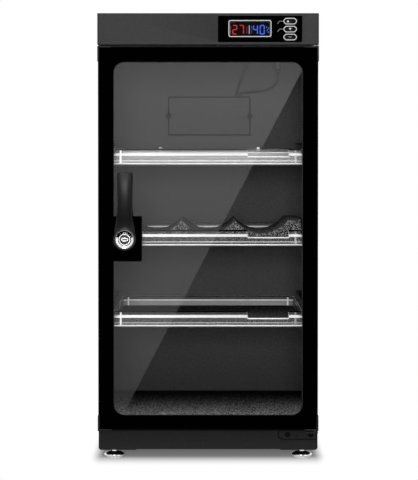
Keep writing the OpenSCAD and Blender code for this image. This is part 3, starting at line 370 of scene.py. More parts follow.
def clear_plastic(name, colour, least, most, roughness=0.12, mottle=0.0, shine=0.5):
    """Thin clear plastic: hazy where it is seen square on, and whiter where it is seen along.

    mottle is how far its haze wavers, as moulded polystyrene does over a few millimetres.
    """
    material, tree, surface = new_material(name)
    place = add(tree, "TexCoord").outputs["Object"]
    along = add(tree, "LayerWeight", values={"Blend": 0.3}).outputs["Facing"]
    haze = add(
        tree,
        "MapRange",
        values={"From Min": 0.35, "From Max": 1.0, "To Min": least, "To Max": most},
        links={"Value": along},
    )
    waver = add(
        tree,
        "TexNoise",
        values={"Scale": per_mm(2.4), "Detail": 3.0, "Roughness": 0.6},
        links={"Vector": place},
    )
    spread = add(
        tree,
        "MapRange",
        values={"From Min": 0.3, "From Max": 0.7, "To Min": 1 - mottle, "To Max": 1 + mottle},
        links={"Value": waver.outputs["Fac"]},
    )
    alpha = add(
        tree,
        "Math",
        {"operation": "MULTIPLY", "use_clamp": True},
        links={0: haze.outputs["Result"], 1: spread.outputs["Result"]},
    )
    plastic = add(
        tree,
        "BsdfPrincipled",
        values={
            "Base Color": linear(colour),
            "Roughness": roughness,
            "IOR": 1.57,
            "Specular IOR Level": shine,
        },
        links={"Alpha": alpha.outputs[0]},
    )
    tree.links.new(plastic.outputs[0], surface)
    return material


def lit_segment(name, colour, strength):
    """A lit segment of the display, an even glow with a hint of its diffuser's grain."""
    material, tree, surface = new_material(name)
    place = add(tree, "TexCoord").outputs["Object"]
    grain = add(tree, "TexNoise", values={"Scale": per_mm(0.9)}, links={"Vector": place})
    low = [c * 0.82 for c in linear(colour)[:3]] + [1.0]
    tone = add(
        tree,
        "ValToRGB",
        links={"Fac": grain.outputs["Fac"]},
        stops=[(0.35, low), (0.65, linear(colour))],
    )
    glow = add(
        tree,
        "BsdfPrincipled",
        values={"Base Color": linear("#101010"), "Roughness": 0.6, "Emission Strength": strength},
        links={"Emission Color": tone.outputs["Color"]},
    )
    tree.links.new(glow.outputs[0], surface)
    return material


def printed_ink(name, colour, roughness=0.5, shine=0.2):
    """Screen-printed ink: a thin even film whose gloss wavers a little."""
    material, tree, surface = new_material(name)
    place = add(tree, "TexCoord").outputs["Object"]
    film = add(tree, "TexNoise", values={"Scale": per_mm(0.6)}, links={"Vector": place})
    gloss = add(
        tree,
        "ValToRGB",
        links={"Fac": film.outputs["Fac"]},
        stops=[(0.3, grey(roughness - 0.06)), (0.7, grey(roughness + 0.06))],
    )
    ink = add(
        tree,
        "BsdfPrincipled",
        values={"Base Color": linear(colour), "Specular IOR Level": shine},
        links={"Roughness": gloss.outputs["Color"]},
    )
    tree.links.new(ink.outputs[0], surface)
    return material


def key_plug_metal(name, recess_y):
    """The key plug: a polished chrome rim and eye, and a black floor, painted shade, where the face is
    recessed.
    """
    material, tree, surface = new_material(name)
    place = add(tree, "TexCoord").outputs["Object"]
    depth = add(tree, "SeparateXYZ", links={"Vector": place}).outputs["Y"]
    # Painted shade: the recessed floor is black and dull
    deep = add(
        tree, "Math", {"operation": "GREATER_THAN"}, values={1: recess_y}, links={0: depth}
    ).outputs[0]
    tone = add(
        tree,
        "ValToRGB",
        links={"Fac": deep},
        stops=[(0.0, linear("#e3e4e6")), (1.0, linear("#070707"))],
    )
    gloss = add(
        tree, "ValToRGB", links={"Fac": deep}, stops=[(0.0, grey(0.11)), (1.0, grey(0.6))]
    )
    metallic = add(
        tree, "ValToRGB", links={"Fac": deep}, stops=[(0.0, grey(1.0)), (1.0, grey(0.0))]
    )
    plug = add(
        tree,
        "BsdfPrincipled",
        links={
            "Base Color": tone.outputs["Color"],
            "Roughness": gloss.outputs["Color"],
            "Metallic": metallic.outputs["Color"],
        },
    )
    tree.links.new(plug.outputs[0], surface)
    return material


# Where in Y the key plug's recessed floor begins
PLUG_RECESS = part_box("key_plug")[0].y + 0.6 * MM
# The floor mat's painted light is palest at its front edge, and gone, leaving it black, this far behind
# it
FLOOR_FOAM_REACH = 0.25
FLOOR_FOAM_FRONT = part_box("floor_mat")[0].y
FLOOR_FOAM_PAINTED_LIGHT = (FLOOR_FOAM_FRONT, FLOOR_FOAM_FRONT + FLOOR_FOAM_REACH)
# From where to where in Z the back wall goes from painted shade to its full tone
WALL_PAINTED_SHADE = (0.07, 0.21)

FINISHES = {
    # Satin charcoal coat, inside and out
    "body": powder_coat("powder_coated_steel_body", "#39393a", "#3f3f41"),
    # Inside, the same coat is flatter and shows its grain, and is painted lighter than the body: painted
    # light for the light that reaches the inside
    "liner": powder_coat("powder_coated_steel_liner_painted_lighter", "#3c3c3d", "#4c4c4d", 0.6, 0.15, 0.006),
    # The back wall is painted darker toward its foot: painted shade where less light reaches it
    "wall": powder_coat(
        "powder_coated_steel_back_painted_shade", "#3c3c3d", "#4c4c4d", 0.6, 0.15, 0.006, WALL_PAINTED_SHADE
    ),
    "plinth": powder_coat("powder_coated_steel_plinth", "#1f1f20", "#252526", 0.6, 0.04),
    # The fascia is flatter than the body
    "header": powder_coat("powder_coated_fascia", "#272728", "#2e2e2f", 0.5, 0.12),
    "rail": powder_coat("powder_coated_steel_rail", "#171718", "#1d1d1e"),
    "bracket": powder_coat("powder_coated_hinge_steel", "#1d1d1e", "#232324", 0.6, 0.05),
    "lever": powder_coat("satin_black_die_casting", "#0c0c0d", "#111112", 0.36, 0.2, 0.01),
    "frame": powder_coat("anodised_black_frame", "#020202", "#040404", 0.6, 0.03),
    "panel": moulded_plastic("black_acrylic_panel", "#010101", 0.7, 0.0),
    "case": moulded_plastic("display_housing_abs", "#040404", 0.7, 0.1),
    # Black rubber for the sealing strip round the cover; the same black is painted shade in recesses and
    # round the bracket
    "seal_and_shade": moulded_plastic("black_rubber_seal_and_painted_shade", "#060606", 0.8, 0.05),
    "board": moulded_plastic("circuit_board_solder_mask", "#1d5a34", 0.35),
    "cap": moulded_plastic("black_nylon_corner_cap", "#0a0a0b", 0.5, 0.15),
    "gasket": moulded_plastic("black_magnetic_gasket", "#141414", 0.7),
    "bush": moulded_plastic("natural_nylon_bush", "#d8d8d0", 0.4),
    "inlet": moulded_plastic("black_inlet_plastic", "#121212", 0.5),
    "sensor": moulded_plastic("white_sensor_housing_abs", "#dededa", 0.45),
    "lead": moulded_plastic("black_cable_jacket", "#050506", 0.22, 0.35),
    "connector": moulded_plastic("grey_connector_nylon", "#2a2a2b", 0.3, 0.6),
    "button": moulded_plastic("black_button_abs", "#030303", 0.4, 0.06),
    "pad": moulded_plastic("grey_foot_rubber", "#c9c9c9", 0.6),
    # Matt, so that the border stays black where the glass shows reflections
    "border": printed_ink("black_border_ink", "#010101", 0.8, 0.0),
    "pinstripe": printed_ink("grey_pinstripe_ink", "#2e2e30", 0.7, 0.05),
    "white_print": printed_ink("white_panel_ink", "#cacaca", 0.5),
    "grey_print": printed_ink("grey_panel_ink", "#969697", 0.5),
    "dark_screw": plated_metal("black_oxide_screw", "#0c0c0d", 0.45),
    "bright_screw": plated_metal("nickel_plated_screw", "#e6e6e8", 0.5),
    "zinc": plated_metal("zinc_plated_steel", "#b9bcc0", 0.3),
    "chrome": plated_metal("polished_chrome", "#e3e4e6", 0.06),
    "lock_chrome": plated_metal("mirror_polished_lock_chrome", "#e8e9ea", 0.02, 0.02),
    "core": plated_metal("anodised_cooler_aluminium", "#8d9094", 0.4),
    "plug": key_plug_metal("chrome_key_plug", PLUG_RECESS),
    "pane": float_glass("clear_float_glass", "#f6f6f6", "#fafafa"),
    "display": clear_plastic("smoked_display_window", "#020202", 0.2, 0.5, 0.0),
    "tray": clear_plastic("clear_moulded_polystyrene", "#c4c4c4", 0.05, 0.5, 0.05, 0.3, 0.3),
    # The upper tray stands at the height of the lamp, and its copy of the finish is paler and hazier:
    # painted light for the lamp's light on it
    "tray_painted_light": clear_plastic("polystyrene_with_painted_light", "#dcdcdc", 0.17, 0.6, 0.05, 0.3, 0.3),
    # A hazier, paler plastic: a dim painted highlight along the step in a tray's skirt and on the right
    # corner bars, and haze on its rear wall
    "tray_line": clear_plastic("polystyrene_haze_and_dim_highlight", "#d0d0d0", 0.42, 0.6, 0.2),
    # The edges of clear plastic are painted white: painted highlights for the light that gathers in them
    "tray_edge": clear_plastic("polystyrene_painted_highlight", "#ffffff", 0.96, 0.99, 0.3),
    # At and just under a rim, and at a tray's foot, the plastic is painted dark: painted shade and
    # painted reflection of the cabinet's dark inside
    "tray_shade": clear_plastic("polystyrene_painted_shade", "#060606", 0.85, 0.9, 0.6, 0.0, 0.0),
    "foam": open_cell_foam("black_polyurethane_foam", "#040404", "#8c8c8c", 1.7),
    # The floor mat's copy of the foam is paler and carries painted light: pale at its front, black
    # toward its back
    "floor_foam": open_cell_foam("black_floor_foam_painted_light", "#141414", "#d2d2d2", 2.3, FLOOR_FOAM_PAINTED_LIGHT),
    "red_light": lit_segment("red_display_segment", "#d01c1e", 1.5),
    "red_dim": lit_segment("red_display_segment_dim", "#98181a", 1.1),
    "blue_light": lit_segment("blue_display_segment", "#3a66ea", 1.9),
    "blue_dim": lit_segment("blue_display_segment_dim", "#1a34a0", 1.1),
    "white_light": lit_segment("white_display_bar", "#c0c0c8", 1.5),
}

NODE_FINISH = {
    "left_side_panel": "body",
    "right_side_panel": "body",
    "top_panel": "body",
    "back_panel": "wall",
    "base_plinth": "plinth",
    "floor_panel": "liner",
    "ceiling_panel": "liner",
    "front_header": "header",
    "control_panel": "panel",
    "display_lens": "display",
    "display_module": "case",
    "control_board": "board",
    "power_board": "board",
    "power_inlet": "inlet",
    "upper_hinge_bracket": "bracket",
    "lower_hinge_bracket": "bracket",
    "hinge_screws": "dark_screw",
    "upper_tray_rails": "rail",
    "middle_tray_rails": "rail",
    "lower_tray_rails": "rail",
    "dehumidifier_cover": "liner",
    "cover_screws": "dark_screw",
    "dehumidifier_core": "core",
    "dehumidifier_housing": "body",
    "housing_screws": "bright_screw",
    "dehumidifier_leads": "lead",
    "lead_connector": "connector",
    "humidity_sensor": "sensor",
    "foot_plates": "plinth",
    "door_glass": "pane",
    "glass_border": "border",
    "door_top_rail": "frame",
    "door_bottom_rail": "frame",
    "door_left_stile": "frame",
    "door_right_stile": "frame",
    "left_corner_caps": "cap",
    "right_corner_caps": "cap",
    "door_gasket": "gasket",
    "hinge_bushes": "bush",
    "lock_body": "lever",
    "lock_nut": "zinc",
    "handle_lever": "lever",
    "lock_ring": "lock_chrome",
    "latch_cam": "zinc",
    "cam_nut": "zinc",
    "key_plug": "plug",
    "up_button": "button",
    "down_button": "button",
    "set_button": "button",
    "upper_tray": "tray_painted_light",
    "middle_tray": "tray",
    "lower_tray": "tray",
    "front_left_foot": "chrome",
    "front_right_foot": "chrome",
    "rear_left_foot": "chrome",
    "rear_right_foot": "chrome",
}

for node_name, finish_name in NODE_FINISH.items():
    for slot in NODES[node_name].material_slots:
        slot.material = FINISHES[finish_name]


# Piece tools


def new_piece(name, bm, finishes, like, smooth_deg=35):
    """A finished bmesh as an object at the origin, that rides as a CAD node does."""
    mesh = bpy.data.meshes.new(name)
    bm.to_mesh(mesh)
    bm.free()
    obj = bpy.data.objects.new(name, mesh)
    bpy.context.scene.collection.objects.link(obj)
    for finish in finishes:
        mesh.materials.append(FINISHES[finish])
    for face in mesh.polygons:
        face.use_smooth = True
    mesh.set_sharp_from_angle(angle=math.radians(smooth_deg))
    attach(obj, NODES[like]["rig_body"])
    return obj


def welded(node):
    """A bmesh of a CAD node's own shape, with its triangles joined into whole faces."""
    bm = bmesh.new()
    bm.from_mesh(NODES[node].data)
    bmesh.ops.remove_doubles(bm, verts=bm.verts, dist=0.002 * MM)
    bmesh.ops.dissolve_limit(
        bm, angle_limit=math.radians(1), verts=bm.verts, edges=bm.edges
    )
    return bm


def round_edges(bm, width, segments=2, least_deg=30):
    """Rounds the sharp edges of a bmesh, and returns the new faces."""
    sharp = [
        e
        for e in bm.edges
        if e.is_manifold and e.calc_face_angle() > math.radians(least_deg)
    ]
    done = bmesh.ops.bevel(
        bm,
        geom=sharp,
        offset=width,
        segments=segments,
        affect="EDGES",
        profile=0.5,
        material=-1,
        clamp_overlap=True,
    )
    return done["faces"]


def softened(node, width_mm, smooth_deg=35):
    """A copy of a node with its edges rounded as the real piece's are, that stands for it."""
    bm = welded(node)
    if width_mm:
        round_edges(bm, width_mm * MM)
    piece = new_piece(node + "_finished", bm, [NODE_FINISH[node]], node, smooth_deg)
    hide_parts(node)


# The width that each edge is rounded by, in millimetres
EDGE_ROUNDING = {
    "front_header": 0.4,
    "control_panel": 0.3,
    "up_button": 0.5,
    "down_button": 0.5,
    "set_button": 0.5,
    "left_corner_caps": 0.8,
    "right_corner_caps": 0.8,
    "door_top_rail": 0.3,
    "door_bottom_rail": 0.3,
    "door_left_stile": 0.3,
    "door_right_stile": 0.3,
    "lower_hinge_bracket": 0.4,
    "dehumidifier_housing": 0.9,
}
for node_name, rounding in EDGE_ROUNDING.items():
    softened(node_name, rounding)


def front_and_painted_shade(node, depth_mm, rounding_mm):
    """A copy of a node with its own finish on its front, and black, as painted shade, deeper than
    depth_mm.
    """
    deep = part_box(node)[0].y + depth_mm * MM
    bm = welded(node)
    if rounding_mm:
        round_edges(bm, rounding_mm * MM)
    for face in bm.faces:
        if face.calc_center_median().y > deep:
            face.material_index = 1
    piece = new_piece(node + "_finished", bm, [NODE_FINISH[node], "seal_and_shade"], node)
    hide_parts(node)


# The cover is painted black in its vents, its notches and on its sides: painted shade
front_and_painted_shade("dehumidifier_cover", 0.4, 0.3)
# The lock ring is bright on its rim and cone, and painted black in the groove round the plug: painted
# shade
front_and_painted_shade("lock_ring", 1.9, 0)

# The leads and the lever are welded and shaded smooth
softened("dehumidifier_leads", 0, 60)
softened("handle_lever", 0, 42)


# Foam

FOAM_RIM = 1.2 * MM


def slab(low, high, corner_r, edge_r):
    """A block between two corners, its upright edges rounded by corner_r and its rims by edge_r."""
    bm = bmesh.new()
    size = high - low
    matrix = Matrix.Translation((low + high) / 2) @ Matrix.Diagonal((*size, 1))
    bmesh.ops.create_cube(bm, size=1, matrix=matrix)
    upright = [e for e in bm.edges if abs(e.verts[0].co.z - e.verts[1].co.z) > size.z / 2]
    bmesh.ops.bevel(
        bm,
        geom=upright,
        offset=corner_r,
        segments=10,
        affect="EDGES",
        profile=0.5,
        material=-1,
    )
    bmesh.ops.recalc_face_normals(bm, faces=bm.faces)
    round_edges(bm, edge_r, 3)
    return bm


def foam_mat(node, corner_mm, finish="foam"):
    """A cut foam mat with softly rounded rims, in the space of its solid."""
    low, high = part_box(node)
    bm = slab(low, high, corner_mm * MM, FOAM_RIM)
    piece = new_piece(node + "_foam", bm, [finish], node)
    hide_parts(node)


foam_mat("floor_mat", 4, "floor_foam")
foam_mat("upper_tray_mat", 8)
foam_mat("lower_tray_mat", 8)

CRADLE_LAND = 20 * MM
CRADLE_BASE = 17.5 * MM
CRADLE_HOLLOWS = 3
HOLLOW_STEPS = 26


def lens_cradle():
    """The foam cradle: round hollows between narrow ridges, with a land at each end."""
    low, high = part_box("lens_cradle")
    pitch = (high.x - low.x - 2 * CRADLE_LAND) / CRADLE_HOLLOWS
    deep = high.z - low.z - CRADLE_BASE
    hollow_r = (pitch * pitch / 4 + deep * deep) / (2 * deep)
    profile = [(low.x, low.z), (low.x, high.z)]
    for i in range(CRADLE_HOLLOWS):
        middle = low.x + CRADLE_LAND + (i + 0.5) * pitch
        for k in range(HOLLOW_STEPS + 1):
            x = -pitch / 2 + pitch * k / HOLLOW_STEPS
            z = low.z + CRADLE_BASE + hollow_r - math.sqrt(hollow_r**2 - x * x)
            if k or not i:
                profile.append((middle + x, z))
    profile += [(high.x, high.z), (high.x, low.z)]
    bm = bmesh.new()
    face = bm.faces.new([bm.verts.new((x, low.y, z)) for x, z in profile])
    far = bmesh.ops.extrude_face_region(bm, geom=[face])
    moved = [v for v in far["geom"] if isinstance(v, bmesh.types.BMVert)]
    bmesh.ops.translate(bm, vec=(0, high.y - low.y, 0), verts=moved)
    bmesh.ops.recalc_face_normals(bm, faces=bm.faces)
    bmesh.ops.triangulate(bm, faces=[f for f in bm.faces if len(f.verts) > 4])
    piece = new_piece("lens_cradle_foam", bm, ["foam"], "lens_cradle")
    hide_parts("lens_cradle")


lens_cradle()


# Trays

TRAY_CORNER = 12 * MM
SKIRT_DEPTH = 8 * MM
NOTCH_W = 63.6 * MM
NOTCH_INSET = 22.6 * MM
CORNER_BAR = 2.6 * MM
WALL_EDGE = 0.4 * MM
WALL_FROM_MAT = 3.5 * MM
# From where to where below the rim an upright painted highlight runs, in millimetres
FRONT_BAR = (3, 22)
REAR_BAR = (2, 16)
# A level face is lined only as part of the rim, this far below it at most, in millimetres
RIM_BAND = 0.6
# Painted highlights and painted shade along a tray's front, by their drop from the rim, in millimetres,
# and their finish
FRONT_LINES = [
    (0.0, 2.6, "tray_shade"),
    (6.9, 10.4, "tray_edge"),
    (18.0, 19.4, "tray_line"),
    (22.3, 24.1, "tray_edge"),
    (24.1, 25.6, "tray_shade"),
]
# Where below the rim the notch's floor gets a painted highlight, in millimetres
NOTCH_HIGHLIGHT = (11.4, 12.8)
# The same for a tray's rear wall: painted shade at its rim, a painted highlight, and a band of the
# hazier finish below it
REAR_LINES = [(0.0, 1.2, "tray_shade"), (6.0, 7.6, "tray_edge"), (7.6, 16.0, "tray_line")]


def clear_tray(node, wall_x, rear_bars):
    """A moulded clear tray: hazy walls, painted highlights on its edges and along its steps, and painted
    shade at its rim.

    wall_x is where its side walls stand, inside the runners.
    """
    low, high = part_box(node)
    top = high.z
    finishes = [NODE_FINISH[node], "tray_edge", "tray_shade", "tray_line"]
    bm = welded(node)
    # Every rounded edge of a tray gets the painted highlight
    for face in round_edges(bm, WALL_EDGE, 2, 40):
        face.material_index = 1
    notch_right = wall_x - NOTCH_INSET
    notch_left = notch_right - NOTCH_W
    bar = wall_x - TRAY_CORNER
    drops = {drop for line in FRONT_LINES + REAR_LINES for drop in line[:2]} | set(NOTCH_HIGHLIGHT)
    uprights = [notch_left, notch_right]
    for side in (-1, 1):
        uprights += [side * bar - CORNER_BAR / 2, side * bar + CORNER_BAR / 2]
    planes = [((0, 0, top - drop * MM), (0, 0, 1)) for drop in sorted(drops)]
    planes += [((x, 0, 0), (1, 0, 0)) for x in uprights]
    for point, normal in planes:
        geom = bm.verts[:] + bm.edges[:] + bm.faces[:]
        bmesh.ops.bisect_plane(bm, geom=geom, dist=0, plane_co=point, plane_no=normal)
    for face in bm.faces:
        at = face.calc_center_median()
        drop = (top - at.z) / MM
        if abs(face.normal.z) > 0.5 and drop > RIM_BAND:
            continue
        in_front = at.y < low.y + SKIRT_DEPTH
        in_rear = at.y > high.y - SKIRT_DEPTH and abs(face.normal.y) > 0.7
        in_bar = abs(abs(at.x) - bar) < CORNER_BAR / 2 and abs(face.normal.y) > 0.7
        in_notch = notch_left < at.x < notch_right
        lines = FRONT_LINES if in_front else REAR_LINES if in_rear else []
        for least, most, finish in lines:
            if least < drop < most:
                face.material_index = finishes.index(finish)
        if in_front and in_notch and NOTCH_HIGHLIGHT[0] < drop < NOTCH_HIGHLIGHT[1]:
            face.material_index = 1
        # The left corner bar gets the painted highlight, the right one the dimmer painted highlight
        if in_front and in_bar and FRONT_BAR[0] < drop < FRONT_BAR[1]:
            face.material_index = 1 if at.x < 0 else face.material_index or 3
        if in_rear and in_bar and rear_bars and REAR_BAR[0] < drop < REAR_BAR[1]:
            face.material_index = 1
    piece = new_piece(node + "_finished", bm, finishes, node)
    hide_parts(node)


TRAY_WALL_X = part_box("upper_tray_mat")[1].x + WALL_FROM_MAT
for node_name in ("upper_tray", "middle_tray", "lower_tray"):
    clear_tray(node_name, TRAY_WALL_X, node_name == "lower_tray")


# Feet

STUD_R = 4.0 * MM
PAD_TOP = 4.0 * MM


def levelling_foot(node):
    """A foot: a rubber pad under a domed chrome disc, and its stud."""
    low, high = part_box(node)
    centre = (low + high) / 2
    radius = (high.x - low.x) / 2
    outline = [
        (0, 0),
        (radius - 1.8 * MM, 0),
        (radius - 1.3 * MM, 0.6 * MM),
        (radius - 1.3 * MM, PAD_TOP),
        (radius - 0.4 * MM, 4.4 * MM),
        (radius, 5.4 * MM),
        (radius - 0.4 * MM, 6.6 * MM),
        (radius - 2.6 * MM, 8.4 * MM),
        (radius - 6.0 * MM, 9.9 * MM),
        (5.8 * MM, 10.9 * MM),
        (STUD_R, 11.0 * MM),
        (STUD_R, high.z - 0.8 * MM),
        (STUD_R - 0.8 * MM, high.z),
        (0, high.z),
    ]
    bm = bmesh.new()
    verts = [bm.verts.new((centre.x + r, centre.y, z)) for r, z in outline]
    edges = [bm.edges.new(pair) for pair in zip(verts, verts[1:])]
    bmesh.ops.spin(
        bm,
        geom=verts + edges,
        cent=(centre.x, centre.y, 0),
        axis=(0, 0, 1),
        angle=math.radians(360),
        steps=48,
        use_merge=True,
    )
    bmesh.ops.remove_doubles(bm, verts=bm.verts, dist=0.001 * MM)
    bmesh.ops.recalc_face_normals(bm, faces=bm.faces)
    for face in bm.faces:
        if face.calc_center_median().z < PAD_TOP:
            face.material_index = 1
    piece = new_piece(node + "_finished", bm, ["chrome", "pad"], node, 50)
    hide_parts(node)


for node_name in ("front_left_foot", "front_right_foot", "rear_left_foot", "rear_right_foot"):
    levelling_foot(node_name)


# Prints

PRINT_T = 0.12 * MM


def printed_shape(name, points, y, finish, like, corners=None, line=0.0):
    """A flat printed shape in X and Z, on the surface at y and facing the front.

    corners gives each point's rounding, and line leaves only an outline of that width.
    """
    bm = bmesh.new()
    ring = [bm.verts.new((x, y, z)) for x, z in points]
    face = bm.faces.new(ring)
    for vert, radius in zip(ring, corners or []):
        if radius:
            bmesh.ops.bevel(
                bm,
                geom=[vert],
                offset=radius,
                segments=8,
                affect="VERTICES",
                profile=0.5,
                material=-1,
            )
    if line:
        bm.faces.ensure_lookup_table()
        inner = bm.faces[0]
        bmesh.ops.inset_region(
            bm, faces=[inner], thickness=line, use_even_offset=True, use_boundary=True
        )
        bmesh.ops.delete(bm, geom=[inner], context="FACES")
    far = bmesh.ops.extrude_face_region(bm, geom=bm.faces[:])
    moved = [v for v in far["geom"] if isinstance(v, bmesh.types.BMVert)]
    bmesh.ops.translate(bm, vec=(0, -PRINT_T, 0), verts=moved)
    bmesh.ops.recalc_face_normals(bm, faces=bm.faces)
    new_piece(name, bm, [finish], like)


def box_points(x0, x1, z0, z1):
    return [(x0, z0), (x1, z0), (x1, z1), (x0, z1)]


PANEL_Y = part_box("control_panel")[0].y
LENS_LOW, LENS_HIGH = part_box("display_lens")
DISPLAY_LINE = 1.0 * MM
DISPLAY_GAP = 0.2 * MM
DISPLAY_R = 3 * MM


def display_outline():
    """The white rounded line round the display window."""
    grow = DISPLAY_LINE + DISPLAY_GAP
    points = box_points(
        LENS_LOW.x - grow, LENS_HIGH.x + grow, LENS_LOW.z - grow, LENS_HIGH.z + grow
    )
    printed_shape(
        "display_outline",
        points,
        PANEL_Y,
        "white_print",
        "control_panel",
        [DISPLAY_R] * 4,
        DISPLAY_LINE,
    )


display_outline()

BUTTON_CORNER = 3.4 * MM
BUTTON_FLANGE = 1.8 * MM
BUTTON_LINE = 1.0 * MM
BUTTON_LINE_R = 1.2 * MM
BUTTON_EDGE = 0.3 * MM
BAR_HALF_W = 2.2 * MM
BAR_HALF_H = 0.4 * MM
ARROW_W = 3.9 * MM
ARROW_H = 3.3 * MM


def button_prints(node, arrow, arrow_x):
    """A button's white outline, and its arrow up or down, or a short bar on the third."""
    low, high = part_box(node)
    x = (low.x + high.x) / 2
    z = (low.z + high.z) / 2
    half_w = (high.x - low.x) / 2 - BUTTON_FLANGE - BUTTON_EDGE
    half_h = (high.z - low.z) / 2 - BUTTON_EDGE
    c = BUTTON_CORNER
    outline = [
        (x + c - half_w, z - half_h),
        (x + half_w - c, z - half_h),
        (x + half_w, z + c - half_h),
        (x + half_w, z + half_h - c),
        (x + half_w - c, z + half_h),
        (x + c - half_w, z + half_h),
        (x - half_w, z + half_h - c),
        (x - half_w, z + c - half_h),
    ]
    name = node.replace("_button", "")
    printed_shape(
        name + "_outline",
        outline,
        low.y,
        "white_print",
        node,
        [BUTTON_LINE_R] * len(outline),
        BUTTON_LINE,
    )
    if not arrow:
        bar = box_points(x - BAR_HALF_W, x + BAR_HALF_W, z - BAR_HALF_H, z + BAR_HALF_H)
        printed_shape(name + "_mark", bar, low.y, "grey_print", node)
        return
    middle = x + arrow_x
    tip = z + arrow * ARROW_H / 2
    base = z - arrow * ARROW_H / 2
    points = [(middle - ARROW_W / 2, base), (middle + ARROW_W / 2, base), (middle, tip)]
    printed_shape(name + "_arrow", points, low.y, "white_print", node)


button_prints("up_button", 1, -3.4 * MM)
button_prints("down_button", -1, 0)
button_prints("set_button", 0, 0)

# Half the width of the line
LEAD_LINE = 0.42 * MM


def lead_line(name, node):
    """The thin printed line that runs from a button to the left and bends down."""
    low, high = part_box(node)
    x = low.x + BUTTON_FLANGE
    z = (low.z + high.z) / 2
    route = [(-0.6, 0), (-5.4, 0), (-6.6, -0.5), (-7.3, -1.6), (-7.9, -3.0), (-9.2, -3.7)]
    data = bpy.data.curves.new(name, "CURVE")
    data.dimensions = "3D"
    data.bevel_depth = LEAD_LINE
    data.bevel_resolution = 2
    data.use_fill_caps = True
    spline = data.splines.new("POLY")
    spline.points.add(len(route) - 1)
    for point, (dx, dz) in zip(spline.points, route):
        point.co = (x + dx * MM, PANEL_Y + LEAD_LINE / 2, z + dz * MM, 1)
    data.materials.append(FINISHES["grey_print"])
    obj = bpy.data.objects.new(name, data)
    bpy.context.scene.collection.objects.link(obj)
    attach(obj, "cabinet")


lead_line("up_lead_line", "up_button")
lead_line("down_lead_line", "down_button")

WINDOW_EDGE = 24.7 * MM
WINDOW_R = 16.5 * MM
TAB_W = 43.4 * MM
TAB_H = 69 * MM
TAB_Z = 344 * MM
TAB_R = 2.5 * MM
PINSTRIPE = 0.9 * MM
# How far behind the door's front the pinstripe's rear lies
PINSTRIPE_DEPTH = 0.25 * MM


def window_pinstripe():
    """The thin grey line along the edge of the window and of the lock's black tab."""
    half_w = CAD_BOX[1][0] - WINDOW_EDGE
    door_low, door_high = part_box("left_corner_caps")
    low = door_low.z + WINDOW_EDGE
    top = door_high.z - WINDOW_EDGE
    points = [
        (-half_w, low),
        (half_w, low),
        (half_w, top),
        (-half_w, top),
        (-half_w, TAB_Z + TAB_H / 2),
        (TAB_W - half_w, TAB_Z + TAB_H / 2),
        (TAB_W - half_w, TAB_Z - TAB_H / 2),
        (-half_w, TAB_Z - TAB_H / 2),
    ]
    corners = [WINDOW_R] * 4 + [0, TAB_R, TAB_R, 0]
    printed_shape(
        "window_pinstripe",
        points,
        DOOR_Y + PINSTRIPE_DEPTH,
        "pinstripe",
        "glass_border",
        corners,
        PINSTRIPE,
    )


window_pinstripe()

COVER_LINE = 2.3 * MM
COVER_R = 1.5 * MM
BRACKET_LINE = 1.2 * MM
BRACKET_R = 6 * MM
BRACKET_T = 2.5 * MM
BRACKET_H = 15 * MM


def dark_outlines():
    """The black sealing strip that shows round the dehumidifier's cover, which also stands for the
    shadow in its gap, and a painted shadow line round the bracket.
    """
    low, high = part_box("dehumidifier_cover")
    points = box_points(low.x, high.x, low.z, high.z)
    printed_shape(
        "cover_seal_and_shadow", points, low.y, "seal_and_shade", "dehumidifier_cover", [COVER_R] * 4, COVER_LINE
    )
    low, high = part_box("lower_hinge_bracket")
    front = high.y - BRACKET_T
    points = box_points(low.x, high.x, low.z, low.z + BRACKET_H)
    printed_shape(
        "bracket_painted_shadow",
        points,
        front,
        "seal_and_shade",
        "lower_hinge_bracket",
        [BRACKET_R, 0, 0, 0],
        BRACKET_LINE,
    )


dark_outlines()


# Display digits

DIGIT_W = 7.6 * MM
DIGIT_H = 14.6 * MM
STROKE = 1.5 * MM
SEGMENT_GAP = 0.25 * MM
SEGMENT_SLANT = 0.7 * MM
MARK_SLANT = 0.2 * MM
BAR_T = 0.2 * MM
DIGIT_DROP = 1.6 * MM
DIGIT_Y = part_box("display_module")[0].y
SEGMENTS_OF = {
    "0": "abcdef",
    "1": "bc",
    "2": "abged",
    "4": "fgbc",
    "7": "abc",
}


def bar_bm(bm, x0, x1, z0, z1, taper):
    """One bar of a display, with slanted ends, added to a bmesh."""
    centre = Vector(((x0 + x1) / 2, DIGIT_Y - BAR_T / 2, (z0 + z1) / 2))
    size = (x1 - x0, BAR_T, z1 - z0)
    matrix = Matrix.Translation(centre) @ Matrix.Diagonal((*size, 1))
    made = bmesh.ops.create_cube(bm, size=1, matrix=matrix)
    edges = set()
    for vert in made["verts"]:
        for edge in vert.link_edges:
            if abs(edge.verts[0].co.y - edge.verts[1].co.y) > BAR_T / 2:
                edges.add(edge)
    if taper:
        bmesh.ops.bevel(
            bm,
            geom=list(edges),
            offset=taper,
            segments=1,
            affect="EDGES",
            profile=0.5,
            material=-1,
        )


